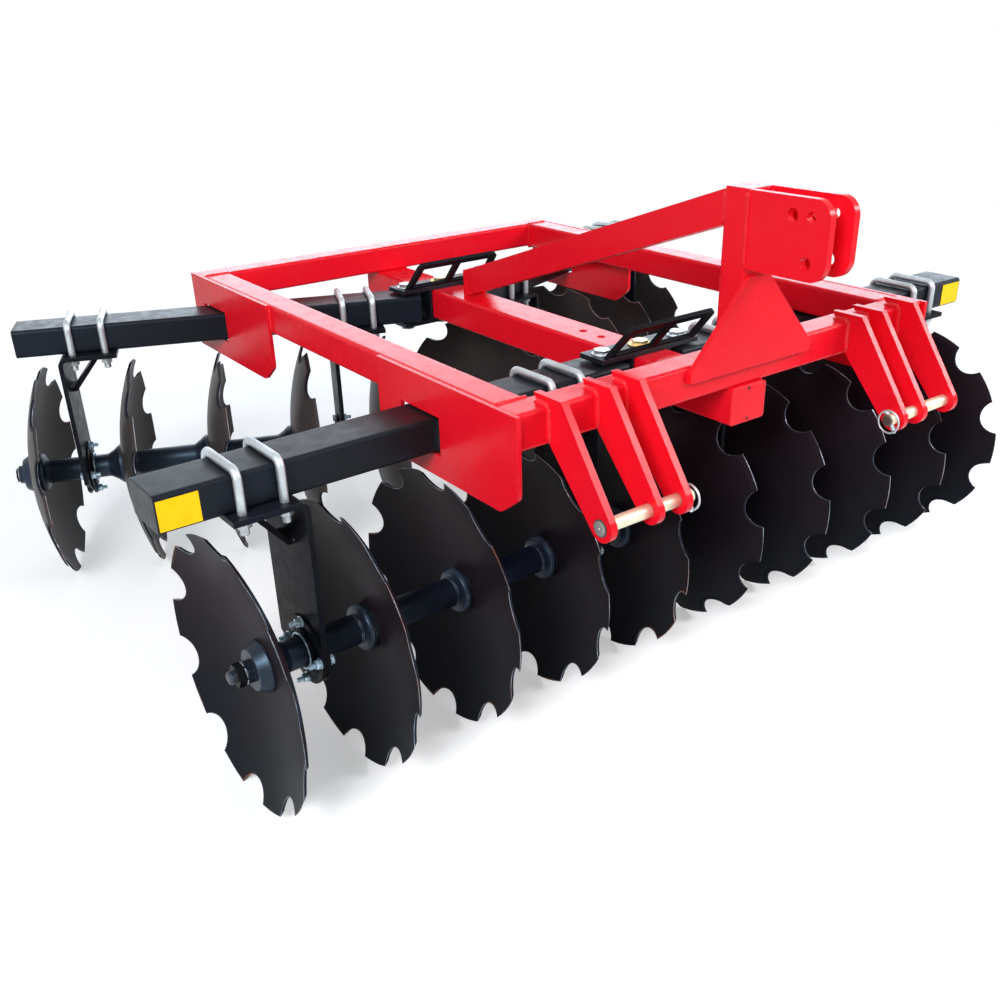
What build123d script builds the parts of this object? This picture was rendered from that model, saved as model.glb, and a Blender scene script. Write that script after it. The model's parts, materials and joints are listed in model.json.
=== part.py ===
from build123d import *
from math import acos, cos, degrees, hypot, radians, sin, sqrt, tan
import os

os.makedirs("parts", exist_ok=True)

# Tandem disc harrow for a tractor's three-point linkage. Millimetres, +Z up.
# +Y is the rear of the harrow and -Y its hitch end. The tractor driver's right is at -X.
# The origin is on the floor, on the centre line, at the middle of the length.

# Discs: 24 in notched, dished blades
disc_radius = 305.0
disc_thickness = 6.0
disc_dish = 66.0
disc_flat_radius = 62.0
disc_bevel = 9.0
notch_count = 10
notch_radius = 50.0
notch_depth = 38.0

# Gang: discs on a square axle, with spools between them
discs_per_gang = 5
disc_spacing = 251.0
axle_square = 28.0
axle_fit = 0.4
spool_radius = 34.0
flange_radius = 58.0
flange_edge = 9.0
cone_length = 34.0
boss_radius = 49.0
boss_length = 26.0
bumper_length = 44.0
bumper_edge_radius = 16.0
nut_width = 46.0
nut_height = 18.0
thread_end = 8.0
head_width = 36.0
head_height = 8.0

# Gang beams and the hangers under them
beam_width = 122.0
beam_height = 76.0
beam_wall = 6.0
beam_corner = 9.0
beam_end_past_pivot = 34.0
beam_cap = 5.0
axle_drop = 370.0
axle_side_offset = 22.0
reflector_length = 80.0
reflector_height = 60.0
reflector_thickness = 1.0
reflector_inset = 3.0
reflector_above = 6.0
hanger_plate_length = 156.0
hanger_plate_width = 196.0
hanger_thickness = 12.0
hanger_bend = 25.0
leg_to_disc = 106.0
leg_below_axle = 74.0
leg_front_corner = -22.0
leg_rear_corner = -8.0
leg_point_half = 14.0
leg_point_ahead = 7.0
strut_thickness = 12.0
strut_tab = 14.0
strut_width = 60.0
strut_drop = 104.0
strut_reach = 100.0
u_bolt_rod = 18.0
u_bolt_pitch = 87.0
u_bolt_inset = 30.0
u_bolt_end = 30.0
u_bolt_play = 1.0
u_bolt_nut_width = 27.0
u_bolt_nut_height = 15.0
bearing_flange_radius = 78.0
bearing_flange_thickness = 4.0
bearing_body_radius = 50.0
bearing_dome_foot = 60.0
bearing_dome_rise = 5.0
bearing_collar_radius = 41.0
bearing_collar_past = 4.0
bearing_play = 1.5

# Main frame
frame_width = 1264.0
frame_length = 1580.0
frame_tube = 76.0
frame_wall = 6.0
frame_corner = 8.0
slide_play = 5.0
gusset_length = 512.0
gusset_height = 212.0
gusset_thickness = 10.0
gusset_window_length = 150.0
gusset_nose = 58.0
gusset_nose_rise = 44.0
gusset_nose_radius = 24.0
front_gusset_start = -10.0
centre_beam_width = 110.0
centre_beam_wall = 8.0
centre_beam_lead = 8.0
adjust_hole_radius = 10.0
adjust_hole_steps = (0.0, 142.0, 213.0)

# Brackets that carry the gang beams' inner ends on the centre beam
pivot_x = 123.0
front_pivot_back = 342.0
rear_pivot_ahead = 352.0
front_gang_angle = 1.0
rear_gang_angle = 21.8
front_beam_length = 1120.0
rear_beam_length = 1098.0
front_first_disc = 53.0
rear_first_disc = 126.5
bracket_length = 312.0
bracket_depth = 84.0
bracket_plate = 12.0
bracket_side_wall = 6.0
bracket_side_gap = 2.0
pivot_bolt_radius = 12.0
pivot_bush_radius = 24.0
pivot_gap = 0.4
bolt_head_height = 12.0
bolt_head_width = 36.0
handle_height = 112.0
handle_lean = 42.0
handle_half_base = 144.0
handle_half_top = 138.0
handle_bar = 20.0
handle_thickness = 10.0

# Mast, brace and top-link plates
mast_width = 76.0
mast_depth = 70.0
mast_height = 340.0
mast_wall = 8.0
top_link_gap = 57.0
top_link_thickness = 16.0
top_link_reach = 205.0
top_link_height = 158.0
top_link_corner = 38.0
top_link_hole = 13.0
top_link_small_hole = 10.0
front_plate_thickness = 12.0
front_plate_half_top = 30.0
front_plate_half_base = 190.0
front_plate_below = 34.0
front_plate_step = 22.0
brace_width = 64.0
brace_depth = 74.0
brace_end_ahead = 542.0
brace_end_top = 6.0
brace_foot_width = 70.0
brace_foot_thickness = 10.0

# Lower-link clevises
clevis_plate_thickness = 16.0
clevis_plate_places = (351.0, 427.0, 549.0)
clevis_pin_lead = 152.0
clevis_pin_drop = 197.0
clevis_tip_radius = 30.0
clevis_hook = 18.0
clevis_hook_back = 48.0
clevis_hook_lead = 34.0
hitch_pin_radius = 14.0
hitch_pin_fit = 0.5
hitch_pin_head_radius = 21.0
hitch_pin_head = 4.0
hitch_pin_past = 24.0

# Heights that follow
notch_centre = disc_radius - notch_depth + notch_radius
notch_half_cos = (disc_radius**2 + notch_centre**2 - notch_radius**2) / (2 * disc_radius * notch_centre)
axle_z = disc_radius * notch_half_cos
beam_bottom = axle_z + axle_drop
frame_bottom = beam_bottom + beam_height + slide_play
frame_top = frame_bottom + frame_tube
centre_beam_bottom = beam_bottom - slide_play
centre_beam_height = frame_bottom - centre_beam_bottom
mast_top = frame_top + mast_height

# Places along the length, from the front face of the front cross tube
rear_pivot_back = frame_length - rear_pivot_ahead
rear_gusset_start = frame_length - gusset_length
last_disc = (discs_per_gang - 1) * disc_spacing
rear_axle_reach = rear_pivot_back + (rear_first_disc + last_disc) * sin(radians(rear_gang_angle))
rear_rim_reach = (disc_radius + axle_side_offset) * cos(radians(rear_gang_angle))
rear_reach = rear_axle_reach + rear_rim_reach - disc_dish * sin(radians(rear_gang_angle))
front_face = (top_link_reach - rear_reach) / 2
frame_half = frame_width / 2
window_x = frame_half + gusset_thickness / 2

# Gang frames on the right-hand side. Along a gang's own X the discs' hollow sides face
# backwards, towards -X; Z is up. Columns: name, pivot's place along the harrow, heading of
# the gang's X in degrees, pivot's place along it, start and end of the beam along it, and
# the start of the gusset plate and the middle of its window
front_pivot_along = last_disc - front_first_disc
gang_ends = (
    (
        "front",
        front_pivot_back,
        front_gang_angle,
        front_pivot_along,
        front_pivot_along - front_beam_length,
        front_pivot_along + beam_end_past_pivot,
        front_gusset_start,
        front_pivot_back - (window_x - pivot_x) * tan(radians(front_gang_angle)),
    ),
    (
        "rear",
        rear_pivot_back,
        180.0 - rear_gang_angle,
        -rear_first_disc,
        -rear_first_disc - beam_end_past_pivot,
        -rear_first_disc + rear_beam_length,
        rear_gusset_start,
        rear_pivot_back + (window_x - pivot_x) * tan(radians(rear_gang_angle)),
    ),
)


def gang_frame(pivot_back, heading, pivot_along):
    """Plane at the hub of a gang's first disc: X along the axle, Z up."""
    along = Vector(cos(radians(heading)), sin(radians(heading)), 0)
    across = Vector(-along.Y, along.X, 0)
    pivot = Vector(-pivot_x, front_face + pivot_back, axle_z)
    origin = pivot - along * pivot_along - across * axle_side_offset
    return Plane(origin=origin, x_dir=along, z_dir=(0, 0, 1))


def write(part, name):
    part.label = name
    export_step(part, f"parts/{name}.step")


def write_sides(piece, plane, name):
    """Set a piece made in gang axes on the right-hand side, and its mirror image on the left."""
    with BuildPart() as right:
        with Locations(plane.location):
            add(piece)
    with BuildPart() as left:
        mirror(right.part, about=Plane.YZ)
    write(right.part, f"{name}_right")
    write(left.part, f"{name}_left")


# Disc: a flat seat in the middle of a spherical dish, bevelled on the swollen side
rim_chord = (disc_radius**2 - disc_flat_radius**2 - disc_dish**2) / (2 * disc_dish)
hollow_radius = hypot(rim_chord, disc_radius)
sphere_centre = -sqrt(hollow_radius**2 - disc_flat_radius**2)
swollen_radius = hollow_radius + disc_thickness
bevel_radius = disc_radius - disc_bevel
edge_land = 1.0


def on_sphere(radius, from_axis):
    """Point of a sphere about the dish's centre, as (along axle, from axle)."""
    return (sphere_centre + sqrt(radius**2 - from_axis**2), from_axis)


middle_radius = (disc_flat_radius + disc_radius) / 2
hollow_rim = on_sphere(hollow_radius, disc_radius)
swollen_seat = (disc_thickness, disc_flat_radius)

with BuildPart() as disc:
    with BuildSketch(Plane.XZ):
        with BuildLine():
            Polyline((disc_thickness, 0), (0, 0), (0, disc_flat_radius))
            ThreePointArc((0, disc_flat_radius), on_sphere(hollow_radius, middle_radius), hollow_rim)
            Polyline(
                hollow_rim,
                (hollow_rim[0] + edge_land, disc_radius),
                on_sphere(swollen_radius, bevel_radius),
            )
            ThreePointArc(
                on_sphere(swollen_radius, bevel_radius),
                on_sphere(swollen_radius, middle_radius),
                swollen_seat,
            )
            Line(swollen_seat, (disc_thickness, 0))
        make_face()
    revolve(axis=Axis.X)
    with BuildSketch(Plane.YZ):
        with PolarLocations(notch_centre, notch_count, start_angle=-90):
            Circle(notch_radius)
        Rectangle(axle_square + axle_fit, axle_square + axle_fit)
    extrude(amount=disc_dish + disc_thickness * 2, both=True, mode=Mode.SUBTRACT)

with BuildPart() as discs:
    with GridLocations(disc_spacing, 0, discs_per_gang, 1):
        with Locations((last_disc / 2, 0, 0)):
            add(disc.part)

# Spools fill the axle between the discs: a coned flange behind each swollen side and a
# boss in front of each hollow side
spool_end = disc_spacing - disc_thickness
flange_root = flange_edge + cone_length
with BuildPart() as spool:
    with BuildSketch(Plane.XZ):
        with BuildLine():
            Polyline(
                (0, 0),
                (0, flange_radius),
                (flange_edge, flange_radius),
                (flange_root, spool_radius),
                (spool_end - boss_length - (boss_radius - spool_radius), spool_radius),
                (spool_end - boss_length, boss_radius),
                (spool_end, boss_radius),
                (spool_end, 0),
                (0, 0),
            )
        make_face()
    revolve(axis=Axis.X)
    with BuildSketch(Plane.YZ):
        Rectangle(axle_square + axle_fit, axle_square + axle_fit)
    extrude(amount=spool_end, mode=Mode.SUBTRACT)

# Bumper: a domed end washer
with BuildPart() as bumper:
    with BuildSketch(Plane.XZ):
        with BuildLine():
            dome_start = bumper_length - bumper_edge_radius
            Polyline((0, 0), (0, flange_radius), (dome_start, flange_radius))
            RadiusArc(
                (dome_start, flange_radius),
                (bumper_length, flange_radius - bumper_edge_radius),
                bumper_edge_radius,
            )
            Polyline((bumper_length, flange_radius - bumper_edge_radius), (bumper_length, 0), (0, 0))
        make_face()
    revolve(axis=Axis.X)
    with BuildSketch(Plane.YZ):
        Rectangle(axle_square + axle_fit, axle_square + axle_fit)
    extrude(amount=bumper_length, mode=Mode.SUBTRACT)

last_bumper = last_disc + disc_thickness
with BuildPart() as spools:
    for place in range(discs_per_gang - 1):
        with Locations((place * disc_spacing + disc_thickness, 0, 0)):
            add(spool.part)
    with Locations((last_bumper, 0, 0)):
        add(bumper.part)
    with Locations(Location((0, 0, 0), (0, 0, 180))):
        add(bumper.part)

# Square axle with a nut on the hollow end and a head on the swollen end
axle_start = -bumper_length
axle_end = last_bumper + bumper_length
with BuildPart() as axle:
    with BuildSketch(Plane.YZ.offset(axle_start)):
        Rectangle(axle_square, axle_square)
    extrude(amount=axle_end - axle_start)
    with BuildSketch(Plane.YZ.offset(axle_start - nut_height)):
        RegularPolygon(nut_width / 2, 6, major_radius=False)
    extrude(amount=nut_height)
    with BuildSketch(Plane.YZ.offset(axle_start - nut_height - thread_end)):
        Circle(axle_square / 2)
    extrude(amount=thread_end)
    with BuildSketch(Plane.YZ.offset(axle_end)):
        RegularPolygon(head_width / 2, 6, major_radius=False)
    extrude(amount=head_height)

# Hanger: a plate under the beam, bent down into a pointed leg that carries the bearing, with
# a bent strut in the corner
leg_places = (leg_to_disc, leg_to_disc + (discs_per_gang - 2) * disc_spacing)
plate_under = axle_drop - hanger_thickness
leg_face = hanger_thickness / 2
plate_start = leg_face - hanger_plate_length
plate_front = axle_side_offset - hanger_plate_width / 2
plate_rear = axle_side_offset + hanger_plate_width / 2
u_bolt_places = (plate_start + u_bolt_inset, plate_start + u_bolt_inset + u_bolt_pitch)
u_bolt_half = beam_width / 2 + u_bolt_play + u_bolt_rod / 2
u_bolt_crown = axle_drop + beam_height + u_bolt_play + u_bolt_rod / 2
bend_inside = hanger_bend - hanger_thickness
strut_low = plate_under - strut_drop
strut_run = strut_reach - strut_tab
strut_across = strut_thickness * hypot(strut_run, strut_drop) / strut_drop
strut_knee = strut_tab + strut_run * strut_thickness / strut_drop - strut_across

with BuildPart() as hanger:
    with BuildSketch(Plane.XZ.offset(-plate_front)):
        with BuildLine():
            FilletPolyline(
                (plate_start, axle_drop),
                (leg_face, axle_drop),
                (leg_face, -leg_below_axle),
                radius=hanger_bend,
            )
            Line((leg_face, -leg_below_axle), (-leg_face, -leg_below_axle))
            FilletPolyline(
                (-leg_face, -leg_below_axle),
                (-leg_face, plate_under),
                (plate_start, plate_under),
                radius=bend_inside,
            )
            Line((plate_start, plate_under), (plate_start, axle_drop))
        make_face()
    extrude(amount=-hanger_plate_width)
    with BuildSketch(Plane.YZ.offset(-leg_face)):
        for corner, side in ((leg_front_corner, plate_front), (leg_rear_corner, plate_rear)):
            turn = 1 if side > 0 else -1
            Polygon(
                (side, corner),
                (turn * leg_point_half - leg_point_ahead, -leg_below_axle),
                (side, -leg_below_axle),
                align=None,
            )
        Circle(bearing_body_radius)
    extrude(amount=hanger_thickness, mode=Mode.SUBTRACT)
    with BuildSketch(Plane.XY.offset(plate_under)):
        with Locations(*[(x, axle_side_offset + y) for x in u_bolt_places for y in (-u_bolt_half, u_bolt_half)]):
            Circle(u_bolt_rod / 2 + u_bolt_play)
    extrude(amount=hanger_thickness, mode=Mode.SUBTRACT)
    with BuildSketch(Plane.XZ.offset(strut_width / 2 - axle_side_offset)):
        Polygon(
            (-leg_face, strut_low),
            (-leg_face - strut_tab, strut_low),
            (-leg_face - strut_reach, plate_under),
            (-leg_face - strut_reach + strut_across, plate_under),
            (-leg_face - strut_knee, strut_low + strut_thickness),
            (-leg_face, strut_low + strut_thickness),
            align=None,
        )
    extrude(amount=-strut_width)

with BuildPart() as hangers:
    for place in leg_places:
        with Locations((place, 0, 0)):
            add(hanger.part)

# U-bolts over the beam, their ends below the hanger plate
with BuildPart() as u_bolt:
    with BuildLine(Plane.YZ) as u_bolt_line:
        FilletPolyline(
            (axle_side_offset - u_bolt_half, plate_under - u_bolt_end),
            (axle_side_offset - u_bolt_half, u_bolt_crown),
            (axle_side_offset + u_bolt_half, u_bolt_crown),
            (axle_side_offset + u_bolt_half, plate_under - u_bolt_end),
            radius=u_bolt_rod,
        )
    with BuildSketch(Plane.XY.offset(plate_under - u_bolt_end)):
        with Locations((0, axle_side_offset - u_bolt_half)):
            Circle(u_bolt_rod / 2)
    sweep(path=u_bolt_line.line)
    with BuildSketch(Plane.XY.offset(plate_under)):
        with Locations((0, axle_side_offset - u_bolt_half), (0, axle_side_offset + u_bolt_half)):
            RegularPolygon(u_bolt_nut_width / 2, 6, major_radius=False, rotation=30)
    extrude(amount=-u_bolt_nut_height)

with BuildPart() as u_bolts:
    for place in leg_places:
        for step in u_bolt_places:
            with Locations((place + step, 0, 0)):
                add(u_bolt.part)

# Bearing: body in the leg's bore, with a domed flange and a collar on each face of the leg
flange_face = leg_face + bearing_flange_thickness
dome_face = flange_face + bearing_dome_rise
collar_face = dome_face + bearing_collar_past
bearing_bore = spool_radius + bearing_play
with BuildPart() as bearing:
    with BuildSketch(Plane.XZ):
        Polygon(
            (0, bearing_bore),
            (collar_face, bearing_bore),
            (collar_face, bearing_collar_radius),
            (dome_face, bearing_collar_radius),
            (dome_face, bearing_body_radius),
            (flange_face, bearing_dome_foot),
            (flange_face, bearing_flange_radius),
            (leg_face, bearing_flange_radius),
            (leg_face, bearing_body_radius),
            (0, bearing_body_radius),
            align=None,
        )
    revolve(axis=Axis.X)
    mirror(about=Plane.YZ)

with BuildPart() as bearings:
    for place in leg_places:
        with Locations((place, 0, 0)):
            add(bearing.part)

gang_pieces = (
    ("discs", discs),
    ("spools", spools),
    ("axle", axle),
    ("hangers", hangers),
    ("u_bolts", u_bolts),
    ("bearings", bearings),
)

for end, pivot_back, heading, pivot_along, beam_start, beam_stop, gusset_start, window in gang_ends:
    frame = gang_frame(pivot_back, heading, pivot_along)
    for kind, piece in gang_pieces:
        write_sides(piece.part, frame, f"{end}_{kind}")

    # Gang beam: capped tube with a pivot bush through its inner end
    with BuildPart() as gang_beam:
        with BuildSketch(Plane.YZ.offset(beam_start)):
            with Locations((axle_side_offset, axle_drop + beam_height / 2)):
                RectangleRounded(beam_width, beam_height, beam_corner)
        extrude(amount=beam_stop - beam_start)
        with BuildSketch(Plane.YZ.offset(beam_start + beam_cap)):
            with Locations((axle_side_offset, axle_drop + beam_height / 2)):
                RectangleRounded(
                    beam_width - 2 * beam_wall, beam_height - 2 * beam_wall, beam_corner - beam_wall
                )
        extrude(amount=beam_stop - beam_start - 2 * beam_cap, mode=Mode.SUBTRACT)
        with BuildSketch(Plane.XY.offset(axle_drop - slide_play + pivot_gap)):
            with Locations((pivot_along, axle_side_offset)):
                Circle(pivot_bush_radius)
        extrude(amount=beam_height + 2 * (slide_play - pivot_gap))
        with BuildSketch(Plane.XY.offset(axle_drop - slide_play + pivot_gap)):
            with Locations((pivot_along, axle_side_offset)):
                Circle(pivot_bolt_radius + pivot_gap)
        extrude(amount=beam_height + 2 * slide_play, mode=Mode.SUBTRACT)
    write_sides(gang_beam.part, frame, f"{end}_gang_beam")

    # Reflector on the front face of each front beam, at its outer end
    if end == "front":
        with BuildPart() as reflector:
            with BuildSketch(Plane.XZ.offset(beam_width / 2 - axle_side_offset)):
                with Locations(
                    (
                        beam_start + reflector_inset + reflector_length / 2,
                        axle_drop + reflector_above + reflector_height / 2,
                    )
                ):
                    Rectangle(reflector_length, reflector_height)
            extrude(amount=reflector_thickness)
        write_sides(reflector.part, frame, f"{end}_reflector")

    # Gusset plate on the outer face of each rail, with a window for the gang beam
    gusset_front = front_face + gusset_start
    gusset_under = frame_top - gusset_height
    window_middle = front_face + window
    with BuildPart() as gusset:
        with BuildSketch(Plane.YZ.offset(-frame_half - gusset_thickness)):
            with BuildLine():
                FilletPolyline(
                    (gusset_front + gusset_length / 2, frame_top),
                    (gusset_front, frame_top),
                    (gusset_front, gusset_under + gusset_nose_rise),
                    (gusset_front + gusset_nose, gusset_under),
                    (gusset_front + gusset_length / 2, gusset_under),
                    radius=(2, gusset_nose_radius, gusset_nose_radius),
                )
                Polyline(
                    (gusset_front + gusset_length / 2, gusset_under),
                    (gusset_front + gusset_length, gusset_under),
                    (gusset_front + gusset_length, frame_top),
                    (gusset_front + gusset_length / 2, frame_top),
                )
            make_face()
            with Locations((window_middle, (centre_beam_bottom + frame_bottom) / 2)):
                Rectangle(gusset_window_length, centre_beam_height, mode=Mode.SUBTRACT)
        extrude(amount=gusset_thickness)
    with BuildPart() as gusset_left:
        mirror(gusset.part, about=Plane.YZ)
    write(gusset.part, f"{end}_gusset_plate_right")
    write(gusset_left.part, f"{end}_gusset_plate_left")

    # Bracket: a sleeve round the centre beam between two plates that hold the beams' ends
    bracket_y = front_face + pivot_back
    sleeve_half = centre_beam_width / 2 + bracket_side_gap + bracket_side_wall
    top_under = frame_bottom + pivot_gap
    bottom_over = centre_beam_bottom - pivot_gap
    with BuildPart() as bracket:
        with BuildSketch(Plane.XY.offset(top_under)):
            with Locations((0, bracket_y)):
                Rectangle(bracket_length, bracket_depth)
        extrude(amount=bracket_plate)
        with BuildSketch(Plane.XY.offset(bottom_over)):
            with Locations((0, bracket_y)):
                Rectangle(bracket_length, bracket_depth)
        extrude(amount=-bracket_plate)
        with BuildSketch(Plane.XY.offset(bottom_over)):
            with Locations((0, bracket_y)):
                Rectangle(2 * sleeve_half, bracket_depth)
                Rectangle(2 * (sleeve_half - bracket_side_wall), bracket_depth, mode=Mode.SUBTRACT)
        extrude(amount=top_under - bottom_over)
        with BuildSketch(Plane.XY.offset(bottom_over - bracket_plate)):
            with Locations((-pivot_x, bracket_y), (pivot_x, bracket_y)):
                Circle(pivot_bolt_radius)
        extrude(amount=top_under - bottom_over + 2 * bracket_plate, mode=Mode.SUBTRACT)
    write(bracket.part, f"{end}_bracket")

    # Handle: a plate with two windows, leaning forward from the bracket's front edge
    handle_foot = top_under + bracket_plate
    handle_plane = Plane(
        origin=(0, bracket_y - bracket_depth / 2, handle_foot),
        x_dir=(1, 0, 0),
        z_dir=(0, -cos(radians(handle_lean)), -sin(radians(handle_lean))),
    )
    inner_base = handle_half_base - handle_bar
    inner_top = handle_half_top - handle_bar
    web_half = handle_bar / 2
    handle_sink = handle_thickness * tan(radians(handle_lean))
    with BuildPart() as handle:
        with BuildSketch(handle_plane):
            Polygon(
                (-handle_half_base, -handle_sink),
                (handle_half_base, -handle_sink),
                (handle_half_top, handle_height),
                (-handle_half_top, handle_height),
                align=None,
            )
            fillet(vertices().group_by(Axis.Y)[-1], handle_bar)
            for turn in (-1, 1):
                Polygon(
                    (turn * web_half, handle_bar / 2),
                    (turn * inner_base, handle_bar / 2),
                    (turn * inner_top, handle_height - handle_bar),
                    (turn * web_half, handle_height - handle_bar),
                    align=None,
                    mode=Mode.SUBTRACT,
                )
        extrude(amount=-handle_thickness)
        split(bisect_by=Plane.XY.offset(handle_foot), keep=Keep.TOP)
    write(handle.part, f"{end}_bracket_handle")

    # Pivot bolts through both plates, and the head and nut of the bolt in the middle
    bolt_under = bottom_over - bracket_plate - bolt_head_height
    bolt_over = top_under + bracket_plate
    with BuildPart() as bracket_bolts:
        with BuildSketch(Plane.XY.offset(bolt_under + bolt_head_height)):
            with Locations((-pivot_x, bracket_y), (pivot_x, bracket_y)):
                Circle(pivot_bolt_radius)
        extrude(amount=bolt_over - bolt_under - bolt_head_height)
        for height in (bolt_under, bolt_over):
            with BuildSketch(Plane.XY.offset(height)):
                with Locations((-pivot_x, bracket_y), (0, bracket_y), (pivot_x, bracket_y)):
                    RegularPolygon(bolt_head_width / 2, 6, major_radius=False)
            extrude(amount=bolt_head_height)
    write(bracket_bolts.part, f"{end}_bracket_bolts")


# Square frame tubes: two rails between two cross tubes
def tube_section(size, wall, corner):
    RectangleRounded(size, size, corner)
    RectangleRounded(size - 2 * wall, size - 2 * wall, corner - wall, mode=Mode.SUBTRACT)


tube_middle = frame_bottom + frame_tube / 2
with BuildPart() as cross_tubes:
    with BuildSketch(Plane.YZ.offset(-frame_half)):
        with Locations(
            (front_face + frame_tube / 2, tube_middle),
            (front_face + frame_length - frame_tube / 2, tube_middle),
        ):
            tube_section(frame_tube, frame_wall, frame_corner)
    extrude(amount=frame_width)
write(cross_tubes.part, "cross_tubes")

with BuildPart() as side_rails:
    with BuildSketch(Plane.XZ.offset(-front_face - frame_tube)):
        with Locations(
            (-frame_half + frame_tube / 2, tube_middle),
            (frame_half - frame_tube / 2, tube_middle),
        ):
            tube_section(frame_tube, frame_wall, frame_corner)
    extrude(amount=-(frame_length - 2 * frame_tube))
write(side_rails.part, "side_rails")

# Centre beam under the cross tubes, with holes for the brackets' middle bolts
beam_front = front_face - centre_beam_lead
with BuildPart() as centre_beam:
    with BuildSketch(Plane.XZ.offset(-beam_front)):
        with Locations((0, (centre_beam_bottom + frame_bottom) / 2)):
            RectangleRounded(centre_beam_width, centre_beam_height, frame_corner)
    extrude(amount=-(frame_length + centre_beam_lead))
    with BuildSketch(Plane.XZ.offset(-beam_front - centre_beam_wall)):
        with Locations((0, (centre_beam_bottom + frame_bottom) / 2)):
            Rectangle(centre_beam_width - 2 * centre_beam_wall, centre_beam_height - 2 * centre_beam_wall)
    extrude(amount=-(frame_length + centre_beam_lead - 2 * centre_beam_wall), mode=Mode.SUBTRACT)
    with BuildSketch(Plane.XY.offset(centre_beam_bottom)):
        hole_places = [
            (0, front_face + back + step)
            for back in (front_pivot_back, rear_pivot_back)
            for step in adjust_hole_steps
        ]
        with Locations(*hole_places):
            Circle(adjust_hole_radius)
    extrude(amount=centre_beam_height, mode=Mode.SUBTRACT)
write(centre_beam.part, "centre_beam")

# Mast on the front cross tube, and the two plates for the top link
with BuildPart() as mast:
    with BuildSketch(Plane.XY.offset(frame_top)):
        with Locations((0, front_face + mast_depth / 2)):
            RectangleRounded(mast_width, mast_depth, frame_corner)
    extrude(amount=mast_height)
    with BuildSketch(Plane.XY.offset(frame_top)):
        with Locations((0, front_face + mast_depth / 2)):
            Rectangle(mast_width - 2 * mast_wall, mast_depth - 2 * mast_wall)
    extrude(amount=mast_height - mast_wall, mode=Mode.SUBTRACT)
write(mast.part, "mast")

# Columns: place ahead of the mast, depth below the mast's top, radius
link_holes = (
    (115.0, 36.0, top_link_hole),
    (160.0, 35.0, top_link_small_hole),
    (156.0, 124.0, top_link_hole),
)
with BuildPart() as top_link_plates:
    for turn in (-1, 1):
        plate_inner = turn * top_link_gap / 2
        with BuildSketch(Plane.YZ.offset(plate_inner)):
            with BuildLine():
                FilletPolyline(
                    (front_face, mast_top),
                    (front_face - top_link_reach, mast_top),
                    (front_face - top_link_reach, mast_top - top_link_height),
                    (front_face, mast_top - top_link_height),
                    radius=top_link_corner,
                )
                Line((front_face, mast_top - top_link_height), (front_face, mast_top))
            make_face()
            for ahead, below, radius in link_holes:
                with Locations((front_face - ahead, mast_top - below)):
                    Circle(radius, mode=Mode.SUBTRACT)
        extrude(amount=turn * top_link_thickness)
write(top_link_plates.part, "top_link_plates")

# Plate on the front of the cross tube, up to the top-link plates
plate_peak = mast_top - top_link_height - clevis_hook
with BuildPart() as mast_front_plate:
    with BuildSketch(Plane.XZ.offset(-front_face)):
        Polygon(
            (-front_plate_half_top, plate_peak),
            (-front_plate_half_base, frame_top - front_plate_step / 2),
            (-front_plate_half_base, frame_top - front_plate_below),
            (front_plate_half_base, frame_top - front_plate_below),
            (front_plate_half_base, frame_top - front_plate_step / 2),
            (front_plate_half_top, plate_peak),
            align=None,
        )
    extrude(amount=front_plate_thickness)
write(mast_front_plate.part, "mast_front_plate")

# Brace from the mast down to a foot plate on the centre beam
brace_back = front_face + frame_length - brace_end_ahead
mast_back = front_face + mast_depth
brace_high = mast_top - brace_end_top
brace_low = frame_top + brace_end_top
with BuildPart() as mast_brace:
    with BuildSketch(Plane.YZ):
        Polygon(
            (mast_back, brace_high),
            (brace_back, brace_low),
            (brace_back, brace_low - brace_depth),
            (mast_back, brace_high - brace_depth),
            align=None,
        )
    extrude(amount=brace_width / 2, both=True)
    with BuildSketch(Plane.XZ.offset(-brace_back)):
        with Locations((0, (frame_bottom + brace_low) / 2)):
            Rectangle(brace_foot_width, brace_low - frame_bottom)
    extrude(amount=-brace_foot_thickness)
write(mast_brace.part, "mast_brace")

# Lower-link clevises: three plates a side, hooked over the front cross tube
pin_y = front_face - clevis_pin_lead
pin_z = frame_top - clevis_pin_drop
for side, turn in (("right", -1), ("left", 1)):
    with BuildPart() as clevis:
        for place in clevis_plate_places:
            with BuildSketch(Plane.YZ.offset(turn * place - clevis_plate_thickness / 2)):
                with BuildLine():
                    hook_front = (front_face - clevis_hook_lead, frame_top + clevis_hook)
                    hook_back = (front_face + clevis_hook_back, frame_top + clevis_hook)
                    tube_under = (front_face, frame_bottom)
                    tip = CenterArc((pin_y, pin_z), clevis_tip_radius, 0, 360)
                    Polyline(hook_front, hook_back, tube_under)
                make_hull()
                with Locations((front_face + frame_tube / 2, tube_middle)):
                    RectangleRounded(frame_tube, frame_tube, frame_corner, mode=Mode.SUBTRACT)
                with Locations((pin_y, pin_z)):
                    Circle(hitch_pin_radius + hitch_pin_fit, mode=Mode.SUBTRACT)
            extrude(amount=clevis_plate_thickness)
    write(clevis.part, f"clevis_{side}")

    outer_face = clevis_plate_places[-1] + clevis_plate_thickness / 2
    inner_face = clevis_plate_places[0] - clevis_plate_thickness / 2
    with BuildPart() as hitch_pin:
        with BuildSketch(Plane.YZ.offset(turn * outer_face)):
            with Locations((pin_y, pin_z)):
                Circle(hitch_pin_radius)
        extrude(amount=-turn * (outer_face - inner_face + hitch_pin_past))
        with BuildSketch(Plane.YZ.offset(turn * outer_face)):
            with Locations((pin_y, pin_z)):
                Circle(hitch_pin_head_radius)
        extrude(amount=turn * hitch_pin_head)
    write(hitch_pin.part, f"hitch_pin_{side}")
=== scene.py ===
import json
from math import cos, pi, radians, sin

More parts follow.
